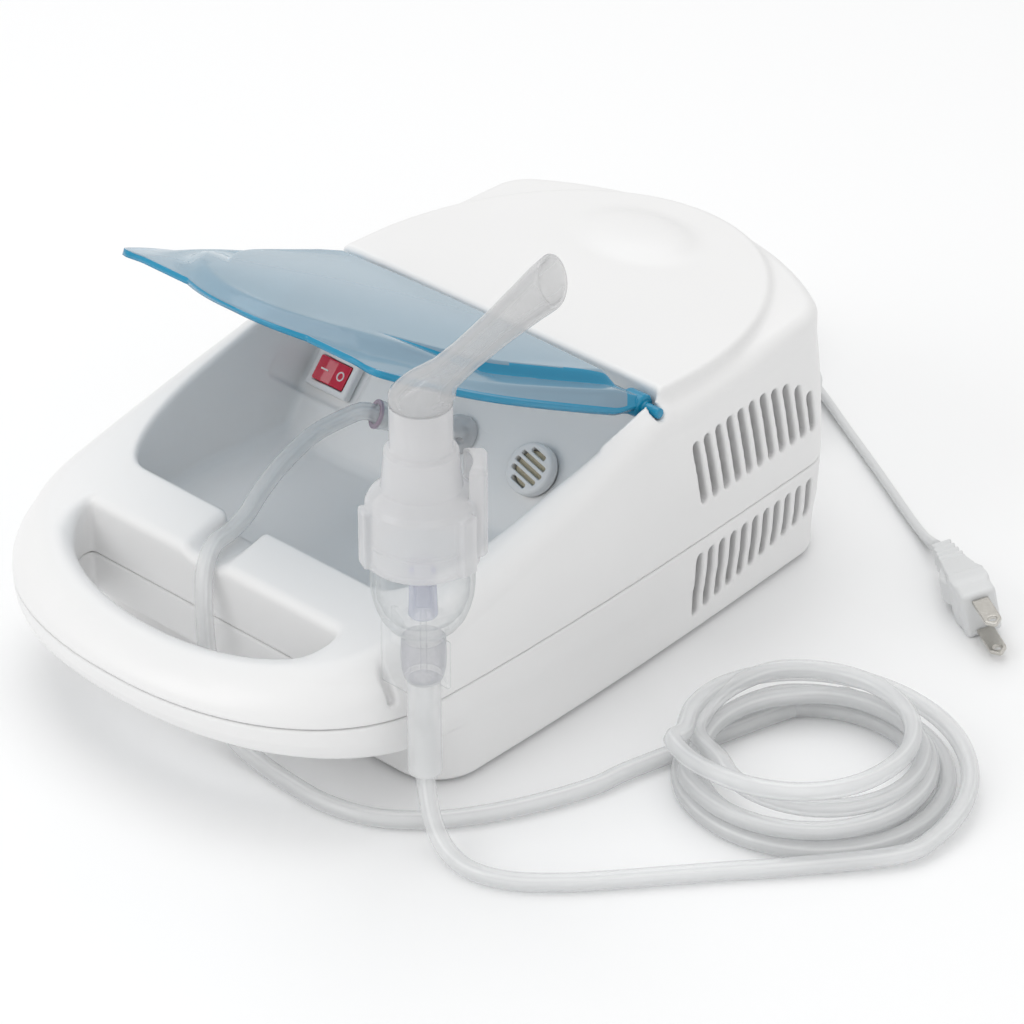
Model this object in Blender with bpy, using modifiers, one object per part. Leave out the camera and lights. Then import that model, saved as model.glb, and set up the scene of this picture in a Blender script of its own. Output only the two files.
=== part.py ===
"""Tabletop compressor nebulizer: housing with a tray, hinged lid, pump, drug kit, air tube and mains lead.

Design frame: X across, -Y the carrying handle, +Y the rear, Z up, metres.
The root empty then moves everything so that the origin is the middle of the footprint.
"""

import math

import bmesh
import bpy
import numpy as np
from mathutils import Matrix, Vector

MM = 0.001
GAP = 0.3 * MM

# Housing outline in plan, seen from above at the seam
FRONT_Y = -127 * MM          # outside of the handle
FRONT_START_Y = -62 * MM     # where the handle's curve begins
WIDE_HALF = 93 * MM          # half width at the handle's root
REAR_HALF = 80 * MM          # half width at the rear corners
REAR_Y = 150 * MM            # rear corners
REAR_BULGE = 29 * MM         # how far the rear wall bows out past its corners
FRONT_POWER = 2.2
CORNER_R = 9 * MM

# Heights
BASE_Z = 1.5 * MM            # underside of the base; the feet stand lower
SEAM_Z = 40 * MM
DECK_Z = 101 * MM            # flat deck behind the lid
DECK_FRONT_Y = 62 * MM
RIM_SLOPE = 0.277            # fall of the rim towards the handle
SHOULDER_R = 11 * MM
TOP_TAPER = 4 * MM           # how much narrower the top is than the seam
WALL = 2.6 * MM
STEP_Z = 16 * MM             # crease between the band and the base skirt, at y = 0
STEP_SLOPE = 0.10
SKIRT_INSET = 2.2 * MM
SKIRT_FRONT_Y = -61 * MM

# Tray, handle opening and lid
TRAY_FLOOR_Z = 43.2 * MM
TRAY_FRONT_Y = -60 * MM
PANEL_TOP_Z = 90 * MM        # top of the sloped control panel
OPEN_BACK_Y = -74 * MM
OPEN_FRONT_Y = -110 * MM
OPEN_HALF = 66 * MM
HINGE_Y = 57 * MM
HINGE_Z = 97 * MM
LID_OPEN_DEG = 38.0
LID_LENGTH = 127 * MM
LID_T = 2.2 * MM

# Control panel: a plane facing forward and up
PANEL_TILT = math.radians(40.2)
PANEL_Y = 40 * MM            # a point of the panel
PANEL_Z = 64 * MM
SWITCH_X = -60.5 * MM
OUTLET_X = 3 * MM
FILTER_X = 40 * MM

# Drug kit, standing at the right of the handle's root
KIT_X = 104 * MM
KIT_Y = -80 * MM
CHIMNEY_TOP = 171 * MM

# Air tube and mains lead
TUBE_R = 3.2 * MM
COIL_X = 174 * MM
COIL_Y = 34 * MM
COIL_R = 45 * MM             # middle of the turns
COIL_H = 32 * MM
COIL_HALF_W = 7 * MM
CORD_R = 2.9 * MM
CORD_X = 16 * MM             # where the lead leaves the rear wall
CORD_Z = 16 * MM
CORD_COIL_X = -50 * MM
CORD_COIL_Y = 226 * MM
CORD_COIL_R = 35 * MM
CORD_COIL_H = 13 * MM

# Pump
SHAFT_Y = 112 * MM
SHAFT_Z = 44 * MM
CRANK_X = 30 * MM
THROW = 2.5 * MM

WHITE = (0.86, 0.87, 0.88)
COLOURS = {
    "housing_white": (WHITE, 0.35, 0.0, 1.0),
    "lid_blue": ((0.25, 0.52, 0.70), 0.12, 0.0, 0.75),
    "rocker_red": ((0.72, 0.02, 0.07), 0.25, 0.0, 1.0),
    "frosted": ((0.86, 0.88, 0.89), 0.30, 0.0, 0.6),
    "clear": ((0.92, 0.94, 0.95), 0.08, 0.0, 0.4),
    "felt": ((0.72, 0.66, 0.50), 0.95, 0.0, 1.0),
    "cord_white": ((0.85, 0.85, 0.86), 0.45, 0.0, 1.0),
    "nickel": ((0.70, 0.69, 0.66), 0.28, 1.0, 1.0),
    "steel": ((0.50, 0.51, 0.53), 0.40, 1.0, 1.0),
    "copper": ((0.72, 0.33, 0.14), 0.35, 1.0, 1.0),
    "rubber": ((0.10, 0.10, 0.10), 0.80, 0.0, 1.0),
    "aluminium": ((0.74, 0.75, 0.77), 0.45, 1.0, 1.0),
    "fan_black": ((0.05, 0.05, 0.06), 0.50, 0.0, 1.0),
    "silicone": ((0.83, 0.84, 0.82), 0.50, 0.0, 0.8),
}


def clear_scene():
    for ob in list(bpy.data.objects):
        bpy.data.objects.remove(ob, do_unlink=True)


clear_scene()
PARTS = bpy.data.collections.new("nebulizer")
CUTTERS = bpy.data.collections.new("cutters")
bpy.context.scene.collection.children.link(PARTS)
bpy.context.scene.collection.children.link(CUTTERS)
ROOT = bpy.data.objects.new("nebulizer_frame", None)
bpy.context.scene.collection.objects.link(ROOT)


def make_material(name):
    colour, roughness, metallic, alpha = COLOURS[name]
    material = bpy.data.materials.new(name)
    material.use_nodes = True
    shader = material.node_tree.nodes["Principled BSDF"]
    shader.inputs["Base Color"].default_value = (*colour, 1.0)
    shader.inputs["Roughness"].default_value = roughness
    shader.inputs["Metallic"].default_value = metallic
    shader.inputs["Alpha"].default_value = alpha
    return material


MATERIALS = {name: make_material(name) for name in COLOURS}


def link(name, mesh, material=None, parent=None):
    """A part when it has a material, otherwise a cutter."""
    ob = bpy.data.objects.new(name, mesh)
    if material:
        PARTS.objects.link(ob)
        ob.data.materials.append(MATERIALS[material])
    else:
        CUTTERS.objects.link(ob)
        ob.hide_render = True
        ob.display_type = "WIRE"
    ob.parent = parent or ROOT
    return ob


def from_bmesh(name, bm, material=None, parent=None):
    bmesh.ops.recalc_face_normals(bm, faces=bm.faces)
    mesh = bpy.data.meshes.new(name)
    bm.to_mesh(mesh)
    bm.free()
    return link(name, mesh, material, parent)


def place(at=(0, 0, 0), turn=(0, 0, 0), size=(1, 1, 1)):
    about_y_then_x = Matrix.Rotation(turn[1], 4, "Y") @ Matrix.Rotation(turn[0], 4, "X")
    rotation = Matrix.Rotation(turn[2], 4, "Z") @ about_y_then_x
    return Matrix.Translation(at) @ rotation @ Matrix.Diagonal((*size, 1))


def box(name, size, at, material=None, turn=(0, 0, 0), bevel=0.0, parent=None):
    bm = bmesh.new()
    bmesh.ops.create_cube(bm, size=1, matrix=place(at, turn, size))
    if bevel:
        bmesh.ops.bevel(bm, geom=bm.edges[:], offset=bevel, segments=2, profile=0.5, affect="EDGES")
    return from_bmesh(name, bm, material, parent)


def cylinder(name, radius, height, at, material=None, turn=(0, 0, 0), sides=20, top=None, parent=None):
    bm = bmesh.new()
    bmesh.ops.create_cone(
        bm, cap_ends=True, segments=sides, radius1=radius, radius2=radius if top is None else top,
        depth=height, matrix=place(at, turn),
    )
    return from_bmesh(name, bm, material, parent)


def turned(name, profile, at, material=None, turn=(0, 0, 0), steps=24, closed=False, parent=None):
    """A profile of (radius, height) points, listed down its outer side, turned about Z."""
    mesh = bpy.data.meshes.new(name)
    points = [(r, 0, z) for r, z in profile]
    edges = [(i, i + 1) for i in range(len(points) - 1)]
    if closed:
        edges.append((len(points) - 1, 0))
    mesh.from_pydata(points, edges, [])
    ob = link(name, mesh, material, parent)
    ob.location = at
    ob.rotation_euler = turn
    screw = ob.modifiers.new("turn", "SCREW")
    screw.steps = screw.render_steps = steps
    screw.use_merge_vertices = True
    screw.merge_threshold = 0.00001
    screw.use_smooth_shade = True
    return ob


def combine(ob, other, operation="DIFFERENCE"):
    modifier = ob.modifiers.new(operation.lower(), "BOOLEAN")
    modifier.operation = operation
    modifier.solver = "EXACT"
    modifier.object = other
    return ob


def smooth_curve(points, count):
    """Points spread evenly along a Catmull-Rom curve through the given ones."""
    p = [np.array(q, float) for q in points]
    p = [2 * p[0] - p[1]] + p + [2 * p[-1] - p[-2]]
    dense = []
    for a, b, c, d in zip(p, p[1:], p[2:], p[3:]):
        for t in np.linspace(0, 1, 24, endpoint=False):
            dense.append(
                0.5 * (
                    2 * b + (c - a) * t + (2 * a - 5 * b + 4 * c - d) * t**2 + (3 * b - a - 3 * c + d) * t**3
                )
            )
    dense = np.array(dense + [p[-2]])
    along = np.concatenate([[0], np.cumsum(np.linalg.norm(np.diff(dense, axis=0), axis=1))])
    at = np.linspace(0, along[-1], count)
    return [tuple(np.interp(at, along, dense[:, k])[i] for k in range(3)) for i in range(count)]


def tube(name, points, radius, material, parent=None):
    curve = bpy.data.curves.new(name, "CURVE")
    curve.dimensions = "3D"
    curve.bevel_depth = radius
    curve.bevel_resolution = 2
    curve.use_fill_caps = True
    spline = curve.splines.new("POLY")
    spline.points.add(len(points) - 1)
    for point, at in zip(spline.points, points):
        point.co = (*at, 1)
    return link(name, curve, material, parent)


# Housing outline -----------------------------------------------------------


def side_half(y):
    """Half width at the seam: widest at the handle's root, narrower at the rear."""
    t = min(max((REAR_Y - y) / (REAR_Y - FRONT_START_Y), 0), 1)
    return REAR_HALF + (WIDE_HALF - REAR_HALF) * math.sin(t * math.pi / 2)


def half_outline(inset, front=FRONT_Y):
    """Right half of the plan outline, from the middle of the front to the middle of the rear."""
    points = []
    reach = FRONT_START_Y - front - inset
    for i in range(9):
        a = math.pi / 2 * i / 9
        x = (WIDE_HALF - inset) * math.sin(a) ** (2 / FRONT_POWER)
        y = FRONT_START_Y - reach * math.cos(a) ** (2 / FRONT_POWER)
        points.append((x, y))
    rear_r = (REAR_HALF**2 + REAR_BULGE**2) / (2 * REAR_BULGE)
    centre_y = REAR_Y + REAR_BULGE - rear_r
    for i in range(6):
        y = FRONT_START_Y + (REAR_Y - CORNER_R - FRONT_START_Y) * i / 5
        points.append((side_half(y) - inset, y))
    corner_x = REAR_HALF - inset
    corner_y = centre_y + math.sqrt((rear_r - inset) ** 2 - corner_x**2)
    rear = []
    start = math.asin((corner_x - CORNER_R) / (rear_r - inset))
    for i in range(6):
        a = start * (1 - i / 5)
        rear.append(((rear_r - inset) * math.sin(a), centre_y + (rear_r - inset) * math.cos(a)))
    begin, corner, end = points[-1], (corner_x, corner_y), rear[0]
    for t in (0.25, 0.5, 0.75):
        a, b, c = (1 - t) ** 2, 2 * t * (1 - t), t**2
        points.append(tuple(a * begin[k] + b * corner[k] + c * end[k] for k in (0, 1)))
    return points + rear


def rear_wall(x):
    """A point on the outside of the base skirt's rear wall, and how far its normal turns from +Y."""
    rear_r = (REAR_HALF**2 + REAR_BULGE**2) / (2 * REAR_BULGE)
    turn = math.asin(x / (rear_r - SKIRT_INSET))
    return (x, REAR_Y + REAR_BULGE - rear_r + (rear_r - SKIRT_INSET) * math.cos(turn)), turn


def skirt_outline(inset):
    """Right half of the base skirt: like the housing's outline, but ending straight behind the handle."""
    front, corner = SKIRT_FRONT_Y + inset, 18 * MM
    rest = [(x, y) for x, y in half_outline(inset + SKIRT_INSET) if y > SKIRT_FRONT_Y + corner + 8 * MM]
    half = side_half(front) - inset - SKIRT_INSET
    points = [(0, front - 1 * MM), ((half - corner) / 2, front - 0.75 * MM)]
    for i in range(5):
        a = math.pi / 2 * i / 4
        points.append((half - corner + corner * math.sin(a), front + corner - corner * math.cos(a)))
    return points + rest


def ring(half, height):
    """A closed ring from a right half outline; height(x, y) gives z."""
    left = [(-x, y) for x, y in reversed(half[1:-1])]
    return [(x, y, height(x, y)) for x, y in half + left]


def loft(name, rings, material=None, parent=None):
    """Rings of equal count. A level end is one face; a sloping end is strips from side to side."""
    bm = bmesh.new()
    rows = [[bm.verts.new(p) for p in one] for one in rings]
    n = len(rows[0])
    for low, high in zip(rows, rows[1:]):
        for i in range(n):
            j = (i + 1) % n
            bm.faces.new((low[i], low[j], high[j], high[i]))
    for row in (rows[0], rows[-1]):
        heights = [v.co.z for v in row]
        if max(heights) - min(heights) < 1e-7:
            bmesh.ops.triangulate(bm, faces=[bm.faces.new(row)])
            continue
        bm.faces.new((row[0], row[1], row[n - 1]))
        for i in range(1, n // 2 - 1):
            bm.faces.new((row[i], row[i + 1], row[n - i - 1], row[n - i]))
        bm.faces.new((row[n // 2 - 1], row[n // 2], row[n // 2 + 1]))
    return from_bmesh(name, bm, material, parent)


def top_z(y):
    return DECK_Z - RIM_SLOPE * max(DECK_FRONT_Y - y, 0)


def step_z(y):
    return max(STEP_Z - STEP_SLOPE * y, 8 * MM)


def upper_rings(inset, bottom):
    """The upper housing from the seam to its top, drawn in by inset."""
    rings = []
    shoulder = max(SHOULDER_R - inset, 4 * MM)
    for t in (0, 0.45, 1):
        half = half_outline(inset + TOP_TAPER * t**2)
        rings.append(ring(half, lambda x, y, t=t: bottom + (top_z(y) - inset - shoulder - bottom) * t))
    for i in (1, 2, 3):
        a = math.pi / 2 * i / 3
        half = half_outline(inset + TOP_TAPER + shoulder * (1 - math.cos(a)))
        rings.append(ring(half, lambda x, y, a=a: top_z(y) - inset - shoulder * (1 - math.sin(a))))
    return rings


def band_rings(inset, top):
    """The lower housing's band, from the crease up to the seam."""
    rings = []
    for t, d in ((0, 4.5 * MM), (0.12, 2.6 * MM), (0.5, 0.8 * MM), (1, 0)):
        half = half_outline(inset + d)
        rings.append(ring(half, lambda x, y, t=t: (step_z(y) + inset) * (1 - t) + top * t))
    return rings


def opening_half(grow):
    """Right half of the handle's opening, from the front middle round to the back middle."""
    points = []
    for i in range(9):
        a = math.pi / 2 * i / 9
        reach = OPEN_BACK_Y - 6 * MM - OPEN_FRONT_Y + grow
        points.append(((OPEN_HALF + grow) * math.sin(a), OPEN_BACK_Y - 6 * MM - reach * math.cos(a)))
    for i in range(4):
        a = math.pi / 2 * i / 3
        r = 6 * MM + grow
        points.append((OPEN_HALF - 6 * MM + r * math.cos(a), OPEN_BACK_Y - 6 * MM + r * math.sin(a)))
    return points + [(0, OPEN_BACK_Y + grow)]


def tray_half(grow, widen, back):
    """Right half of the tray's outline in plan at one level."""
    half = 78 * MM + grow + widen
    front = TRAY_FRONT_Y - grow - widen
    points = [(0, front), (30 * MM, front)]
    for i in range(7):
        a = math.pi / 2 * i / 6
        points.append((half - 22 * MM * (1 - math.sin(a)), front + 50 * MM * (1 - math.cos(a)) ** 1.15))
    return points + [(half - 1 * MM, back - 12 * MM), (half - 2 * MM, back), (0, back)]


def tray_rings(grow):
    floor = TRAY_FLOOR_Z - grow
    drop = (PANEL_TOP_Z - floor) * math.tan(PANEL_TILT)
    back_top = PANEL_Y + (PANEL_TOP_Z - PANEL_Z) * math.tan(PANEL_TILT) + grow
    levels = (
        (floor, -10 * MM, back_top - drop + 3 * MM),
        (floor + 4 * MM, -6.5 * MM, back_top - drop + 4 * MM * math.tan(PANEL_TILT)),
        (PANEL_TOP_Z, 0, back_top),
        (125 * MM, 1 * MM, back_top),
    )
    return [ring(tray_half(grow, widen, back), lambda x, y, z=z: z) for z, widen, back in levels]


def vent_cutter(side):
    """Two rows of eleven leaning slots in one side wall."""
    bm = bmesh.new()
    for i in range(11):
        t = i / 10
        y = (79 + 59 * t) * MM
        for low, high, lean in ((50 + 5 * t, 80 - 5 * t, -0.17), (6 + 13 * t, 28 + 5 * t, 0.12)):
            middle, tall = (low + high) / 2 * MM, (high - low) * MM
            at = (side * side_half(y), y, middle)
            bmesh.ops.create_cube(
                bm, size=1, matrix=place(at, (math.atan(lean), 0, 0), (16 * MM, 2.8 * MM, tall))
            )
    return from_bmesh(f"vents_{'right' if side > 0 else 'left'}", bm)


def panel_point(x, down, out):
    """A point on the control panel: down its slope from the reference line, and out along its normal."""
    c, s = math.cos(PANEL_TILT), math.sin(PANEL_TILT)
    return (x, PANEL_Y - down * s - out * c, PANEL_Z - down * c + out * s)


PANEL_TURN = (math.pi / 2 - PANEL_TILT, 0, 0)   # turns +Z onto the panel's normal
SCREW_PLACES = [(-67 * MM, 141 * MM), (67 * MM, 141 * MM), (-70 * MM, -30 * MM), (70 * MM, -30 * MM)]
FOOT_PLACES = [(-62 * MM, 122 * MM), (62 * MM, 122 * MM), (-72 * MM, -44 * MM), (72 * MM, -44 * MM)]


def make_upper_housing():
    upper = loft("upper_housing", upper_rings(0, SEAM_Z + GAP), "housing_white")
    deck = []
    for i in range(17):
        a = math.pi * i / 16
        deck.append((78 * MM * math.cos(a), DECK_FRONT_Y + 14 * MM + 98 * MM * math.sin(a)))
    bm = bmesh.new()
    outline = [(78 * MM, DECK_FRONT_Y - 1 * MM)] + deck + [(-78 * MM, DECK_FRONT_Y - 1 * MM)]
    bottom = [bm.verts.new((x, y, DECK_Z - 6 * MM)) for x, y in outline]
    bm.faces.new(bottom)
    raised = bmesh.ops.extrude_face_region(bm, geom=bm.faces[:])
    top = [v for v in raised["geom"] if isinstance(v, bmesh.types.BMVert)]
    bmesh.ops.translate(bm, verts=top, vec=(0, 0, 8 * MM))
    combine(upper, from_bmesh("deck_panel", bm), "UNION")
    bm = bmesh.new()
    bmesh.ops.create_uvsphere(
        bm, u_segments=20, v_segments=8, radius=1,
        matrix=place((-5 * MM, 141 * MM, DECK_Z + 1 * MM), size=(25 * MM, 18 * MM, 4 * MM)),
    )
    combine(upper, from_bmesh("deck_dome", bm), "UNION")

    hollow = loft("upper_hollow", upper_rings(WALL, SEAM_Z - 2 * MM))
    combine(hollow, loft("tray_skin", tray_rings(WALL)))
    combine(hollow, loft("opening_skin", [ring(opening_half(WALL), lambda x, y, z=z: z) for z in (0, 0.13)]))
    for i, (x, y) in enumerate(SCREW_PLACES):
        combine(hollow, cylinder(f"post_skin_{i}", 5.2 * MM, 0.14, (x, y, 0.05), sides=8))
    combine(upper, hollow)
    for i, (x, y) in enumerate(SCREW_PLACES):
        combine(upper, cylinder(f"upper_pilot_{i}", 1.9 * MM, 34 * MM, (x, y, SEAM_Z), sides=8))
    combine(upper, loft("tray", tray_rings(0)))
    combine(upper, loft("opening", [ring(opening_half(0), lambda x, y, z=z: z) for z in (-0.01, 0.12)]))
    combine(upper, vent_cutter(1))
    combine(upper, vent_cutter(-1))
    combine(upper, box("tube_notch", (16 * MM, 24 * MM, 16 * MM), (-4.5 * MM, -66 * MM, 68 * MM)))
    combine(upper, box("kit_slot", (20 * MM, 3.4 * MM, 34 * MM), (90 * MM, KIT_Y, 66 * MM)))
    combine(
        upper,
        cylinder("hinge_holes", 2.6 * MM, 0.169, (0, HINGE_Y, HINGE_Z), turn=(0, math.pi / 2, 0), sides=12),
    )
    combine(
        upper,
        box("switch_hole", (17.2 * MM, 11.8 * MM, 14 * MM), panel_point(SWITCH_X, 0, 0), turn=PANEL_TURN),
    )
    combine(
        upper,
        cylinder("outlet_hole", 4 * MM, 16 * MM, panel_point(OUTLET_X, 0, 0), turn=PANEL_TURN, sides=16),
    )
    combine(
        upper,
        cylinder("filter_hole", 8.6 * MM, 16 * MM, panel_point(FILTER_X, 0, 0), turn=PANEL_TURN, sides=24),
    )
    return upper


def make_lower_housing():
    skirt_levels = ((BASE_Z, 1.5 * MM), (BASE_Z + 1.5 * MM, 0), (SEAM_Z - 3 * MM, -0.5 * MM))
    lower = loft(
        "lower_housing", [ring(skirt_outline(d), lambda x, y, z=z: z) for z, d in skirt_levels],
        "housing_white",
    )
    combine(lower, loft("band", band_rings(0, SEAM_Z)), "UNION")
    inside = ((BASE_Z + WALL, WALL), (SEAM_Z + 3 * MM, WALL))
    hollow = loft("lower_hollow", [ring(skirt_outline(d), lambda x, y, z=z: z) for z, d in inside])
    combine(hollow, loft("band_hollow", band_rings(WALL, SEAM_Z + 4 * MM)), "UNION")
    combine(
        hollow, loft("lower_opening_skin", [ring(opening_half(WALL), lambda x, y, z=z: z) for z in (0, 0.1)])
    )
    for i in range(4):
        combine(hollow, bpy.data.objects[f"post_skin_{i}"])
    combine(lower, hollow)
    combine(lower, loft("lower_opening", [ring(opening_half(0), lambda x, y, z=z: z) for z in (-0.01, 0.12)]))
    combine(lower, bpy.data.objects["vents_right"])
    combine(lower, bpy.data.objects["vents_left"])
    for i, (x, y) in enumerate(SCREW_PLACES):
        combine(lower, cylinder(f"screw_hole_{i}", 1.9 * MM, 0.1, (x, y, 0), sides=8))
        combine(lower, cylinder(f"screw_well_{i}", 3.6 * MM, 52 * MM, (x, y, 0), sides=8))
    for i, (x, y) in enumerate(FOOT_PLACES):
        combine(lower, cylinder(f"foot_pocket_{i}", 6.4 * MM, 3 * MM, (x, y, BASE_Z), sides=14))
    inlet = cylinder(
        "inlet_hole", 4.7 * MM, 16 * MM, (*rear_wall(CORD_X)[0], CORD_Z), turn=(math.pi / 2, 0, 0), sides=16
    )
    combine(lower, inlet)
    return lower



# Lid -------------------------------------------------------------------------


def lid_half_width(t):
    """Half width at a fraction t from the hinge to the front edge."""
    if t < 0.45:
        return 75 * MM
    u = (t - 0.45) / 0.55
    return (75 - 14 * u**2.6) * MM


def lid_height(u, t):
    """Height over the closing plane: a shallow dome inside a flat flange, over a skirt at the sides."""
    reach = max(0.0, 1 - (abs(u) / 0.86) ** 3) * max(0.0, 1 - ((t - 0.42) / 0.53) ** 4)
    return 6.5 * MM * math.sqrt(reach) if reach > 0 else 0.0


def make_lid():
    """Modelled closed and level about its hinge, with the hinge axis on X through the origin."""
    columns = [-1, -0.95, -0.86, -0.78, -0.55, -0.2, 0.2, 0.55, 0.78, 0.86, 0.95, 1]
    rows = [0.0, 0.08, 0.2, 0.38, 0.56, 0.72, 0.84, 0.92, 1.0]
    bm = bmesh.new()
    grid = []
    for t in rows:
        line = []
        for u in columns:
            lip = 6 * MM * max(0.0, 1 - (abs(u) * 61 / 25) ** 4) * t**6
            x = u * lid_half_width(t)
            z = lid_height(u, t) + 5.4 * MM
            if abs(u) == 1:
                z -= 7 * MM * math.sin(math.pi * min(t * 1.15, 1)) ** 0.5 + 0.5 * MM
            line.append(bm.verts.new((x, -(6 * MM + (LID_LENGTH - 6 * MM) * t + lip), z)))
        grid.append(line)
    for a, b in zip(grid, grid[1:]):
        for i in range(len(columns) - 1):
            bm.faces.new((a[i], b[i], b[i + 1], a[i + 1]))
    lid = from_bmesh("lid", bm, "lid_blue")
    if sum(p.normal.z for p in lid.data.polygons) < 0:
        lid.data.flip_normals()
    sheet = lid.modifiers.new("thickness", "SOLIDIFY")
    sheet.thickness = LID_T
    sheet.offset = -1
    across = (0, math.pi / 2, 0)
    for side in (-1, 1):
        knuckle = cylinder(
            f"knuckle_{side + 1}", 4.2 * MM, 10 * MM, (side * 69.5 * MM, 0, 0), turn=across, sides=16
        )
        arm = box(f"lid_arm_{side + 1}", (9 * MM, 9 * MM, 4.4 * MM), (side * 69.5 * MM, -5 * MM, 2.1 * MM))
        stub = cylinder(
            f"lid_stub_{side + 1}", 2.0 * MM, 8 * MM, (side * 77.5 * MM, 0, 0), turn=across, sides=12
        )
        for piece in (knuckle, arm, stub):
            piece.parent = lid
            combine(lid, piece, "UNION")
    lid.location = (0, HINGE_Y, HINGE_Z)
    lid.rotation_euler = (math.atan(RIM_SLOPE) - math.radians(LID_OPEN_DEG), 0, 0)
    return lid


# Control panel ---------------------------------------------------------------


def panel_frame(name, x):
    """An empty on the panel, its Z along the panel's normal."""
    empty = bpy.data.objects.new(name, None)
    bpy.context.scene.collection.objects.link(empty)
    empty.parent = ROOT
    empty.location = panel_point(x, 0, 0)
    empty.rotation_euler = PANEL_TURN
    return empty


def make_switch():
    frame = panel_frame("switch_frame", SWITCH_X)
    case = box("switch_case", (21 * MM, 15 * MM, 1.8 * MM), (0, 0, 1.2 * MM), "housing_white", parent=frame)
    combine(case, box("switch_body", (16.4 * MM, 11.0 * MM, 20 * MM), (0, 0, -9 * MM), parent=frame), "UNION")
    combine(case, box("switch_pocket", (15.4 * MM, 9.9 * MM, 16 * MM), (0, 0, 2.2 * MM), parent=frame))
    outline = [(-7, 3.6), (0, 2.0), (7, 3.6), (6.6, -0.5)]
    outline += [(6.6 * math.cos(a), -0.5 - 3.6 * math.sin(a)) for a in (math.pi * k / 8 for k in range(1, 8))]
    outline += [(-6.6, -0.5)]
    bm = bmesh.new()
    face = bm.faces.new([bm.verts.new((x * MM, -4.7 * MM, z * MM)) for x, z in outline])
    moved = bmesh.ops.extrude_face_region(bm, geom=[face])
    bmesh.ops.translate(
        bm, verts=[v for v in moved["geom"] if isinstance(v, bmesh.types.BMVert)], vec=(0, 9.4 * MM, 0)
    )
    rocker = from_bmesh("switch_rocker", bm, "rocker_red", frame)
    rocker.rotation_euler = (0, math.radians(8), 0)
    for i, x in enumerate((-5, 5)):
        box(
            f"switch_terminal_{i + 1}", (0.8 * MM, 4.8 * MM, 8 * MM), (x * MM, 0, -23.3 * MM), "copper",
            parent=frame,
        )


def make_air_filter():
    frame = panel_frame("filter_frame", FILTER_X)
    cap_profile = [
        (0, 5.4), (8.6, 5.4), (9.6, 4.4), (9.6, 0.4), (8.2, 0.4), (8.2, -5), (7.2, -5), (7.2, 3.6), (0, 3.6)
    ]
    cap = turned(
        "filter_cap", [(r * MM, z * MM) for r, z in cap_profile], (0, 0, 0), "housing_white", parent=frame
    )
    for i in range(-2, 3):
        half = math.sqrt(7 * 7 - (i * 3) ** 2)
        slat = box(f"slat_{i + 2}", (1.6 * MM, 2 * half * MM, 6 * MM), (0, 0, 4 * MM), parent=frame)
        aside = Matrix.Translation((i * 3 * MM, 0, 0))
        slat.matrix_local = Matrix.Rotation(math.radians(-50), 4, "Z") @ aside
        combine(cap, slat)
    cylinder("filter_pad", 6.9 * MM, 6 * MM, (0, 0, 0.3 * MM), "felt", sides=24, parent=frame)
    seat = [(8.5, -2.6), (11, -2.6), (11, -11), (3, -11), (3, -18), (1.5, -18), (1.5, -9), (8.5, -9)]
    seat = [(r * MM, (z - 0.3) * MM) for r, z in seat]
    turned("filter_seat", seat, (0, 0, 0), "housing_white", closed=True, parent=frame)


OUTLET_WAY = Vector((-0.45, -0.80, 0.40)).normalized()
DOME_AT = Vector(panel_point(OUTLET_X, 0, 1.5 * MM))


def along_outlet(distance):
    return tuple(DOME_AT + OUTLET_WAY * distance)


def make_air_outlet():
    dome = [
        (0, 7.5), (3.2, 7.0), (5.6, 5.4), (7.0, 3.0), (7.4, 0.4), (3.6, 0.4), (3.6, -16), (1.5, -16),
        (1.5, 2), (0, 2),
    ]
    outlet = turned(
        "air_outlet", [(r * MM, z * MM) for r, z in dome], panel_point(OUTLET_X, 0, 0),
        "frosted", turn=PANEL_TURN
    )
    way = OUTLET_WAY.to_track_quat("Z", "Y").to_euler()
    nozzle = cylinder("nozzle", 2.3 * MM, 20 * MM, (0, 0, 10 * MM), sides=14)
    bore = cylinder("nozzle_bore", 1.3 * MM, 20 * MM, (0, 0, 12 * MM), sides=12)
    for piece, operation in ((nozzle, "UNION"), (bore, "DIFFERENCE")):
        piece.location = DOME_AT
        piece.rotation_euler = way
        combine(outlet, piece, operation)
    cuff = [(2.6, 33), (5.0, 33), (5.0, 9), (2.6, 9), (2.6, 21), (3.5, 21.5), (3.5, 33)][1:]
    turned(
        "outlet_cuff", [(r * MM, z * MM) for r, z in cuff], DOME_AT, "clear", turn=way, closed=True, steps=20
    )


# Drug kit ----------------------------------------------------------------------


def kit_turned(name, profile, material, **more):
    return turned(name, [(r * MM, z * MM) for r, z in profile], (KIT_X, KIT_Y, 0), material, **more)


def make_cup():
    outer = [
        (15.6, 117), (15.6, 110), (17, 108), (17, 100), (16, 93), (13.4, 87), (11.6, 84), (7.4, 82),
        (7.4, 64), (2.6, 63),
    ]
    inner = [
        (2.6, 46), (1.2, 46), (1.2, 84), (1.0, 96), (2.4, 96), (3.2, 86.5), (10, 86), (12.6, 89), (14.6, 94)
    ]
    cup = kit_turned(
        "medication_cup", outer + inner + [(15.4, 100), (14.3, 110), (14.3, 117)], "clear", closed=True
    )
    combine(
        cup, box("hook_fin", (13.2 * MM, 2.2 * MM, 22 * MM), (KIT_X - 12.9 * MM, KIT_Y, 64 * MM)), "UNION"
    )
    combine(cup, box("side_fin", (6 * MM, 2.0 * MM, 18 * MM), (KIT_X + 9 * MM, KIT_Y, 73 * MM)), "UNION")


def make_baffle():
    profile = [(4.9, 103.5), (5.2, 88), (4.4, 87.2), (3.9, 88), (3.2, 97.5), (1.6, 98), (1.6, 103.5)]
    kit_turned("jet_baffle", profile, "frosted", closed=True, steps=20)


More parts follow.
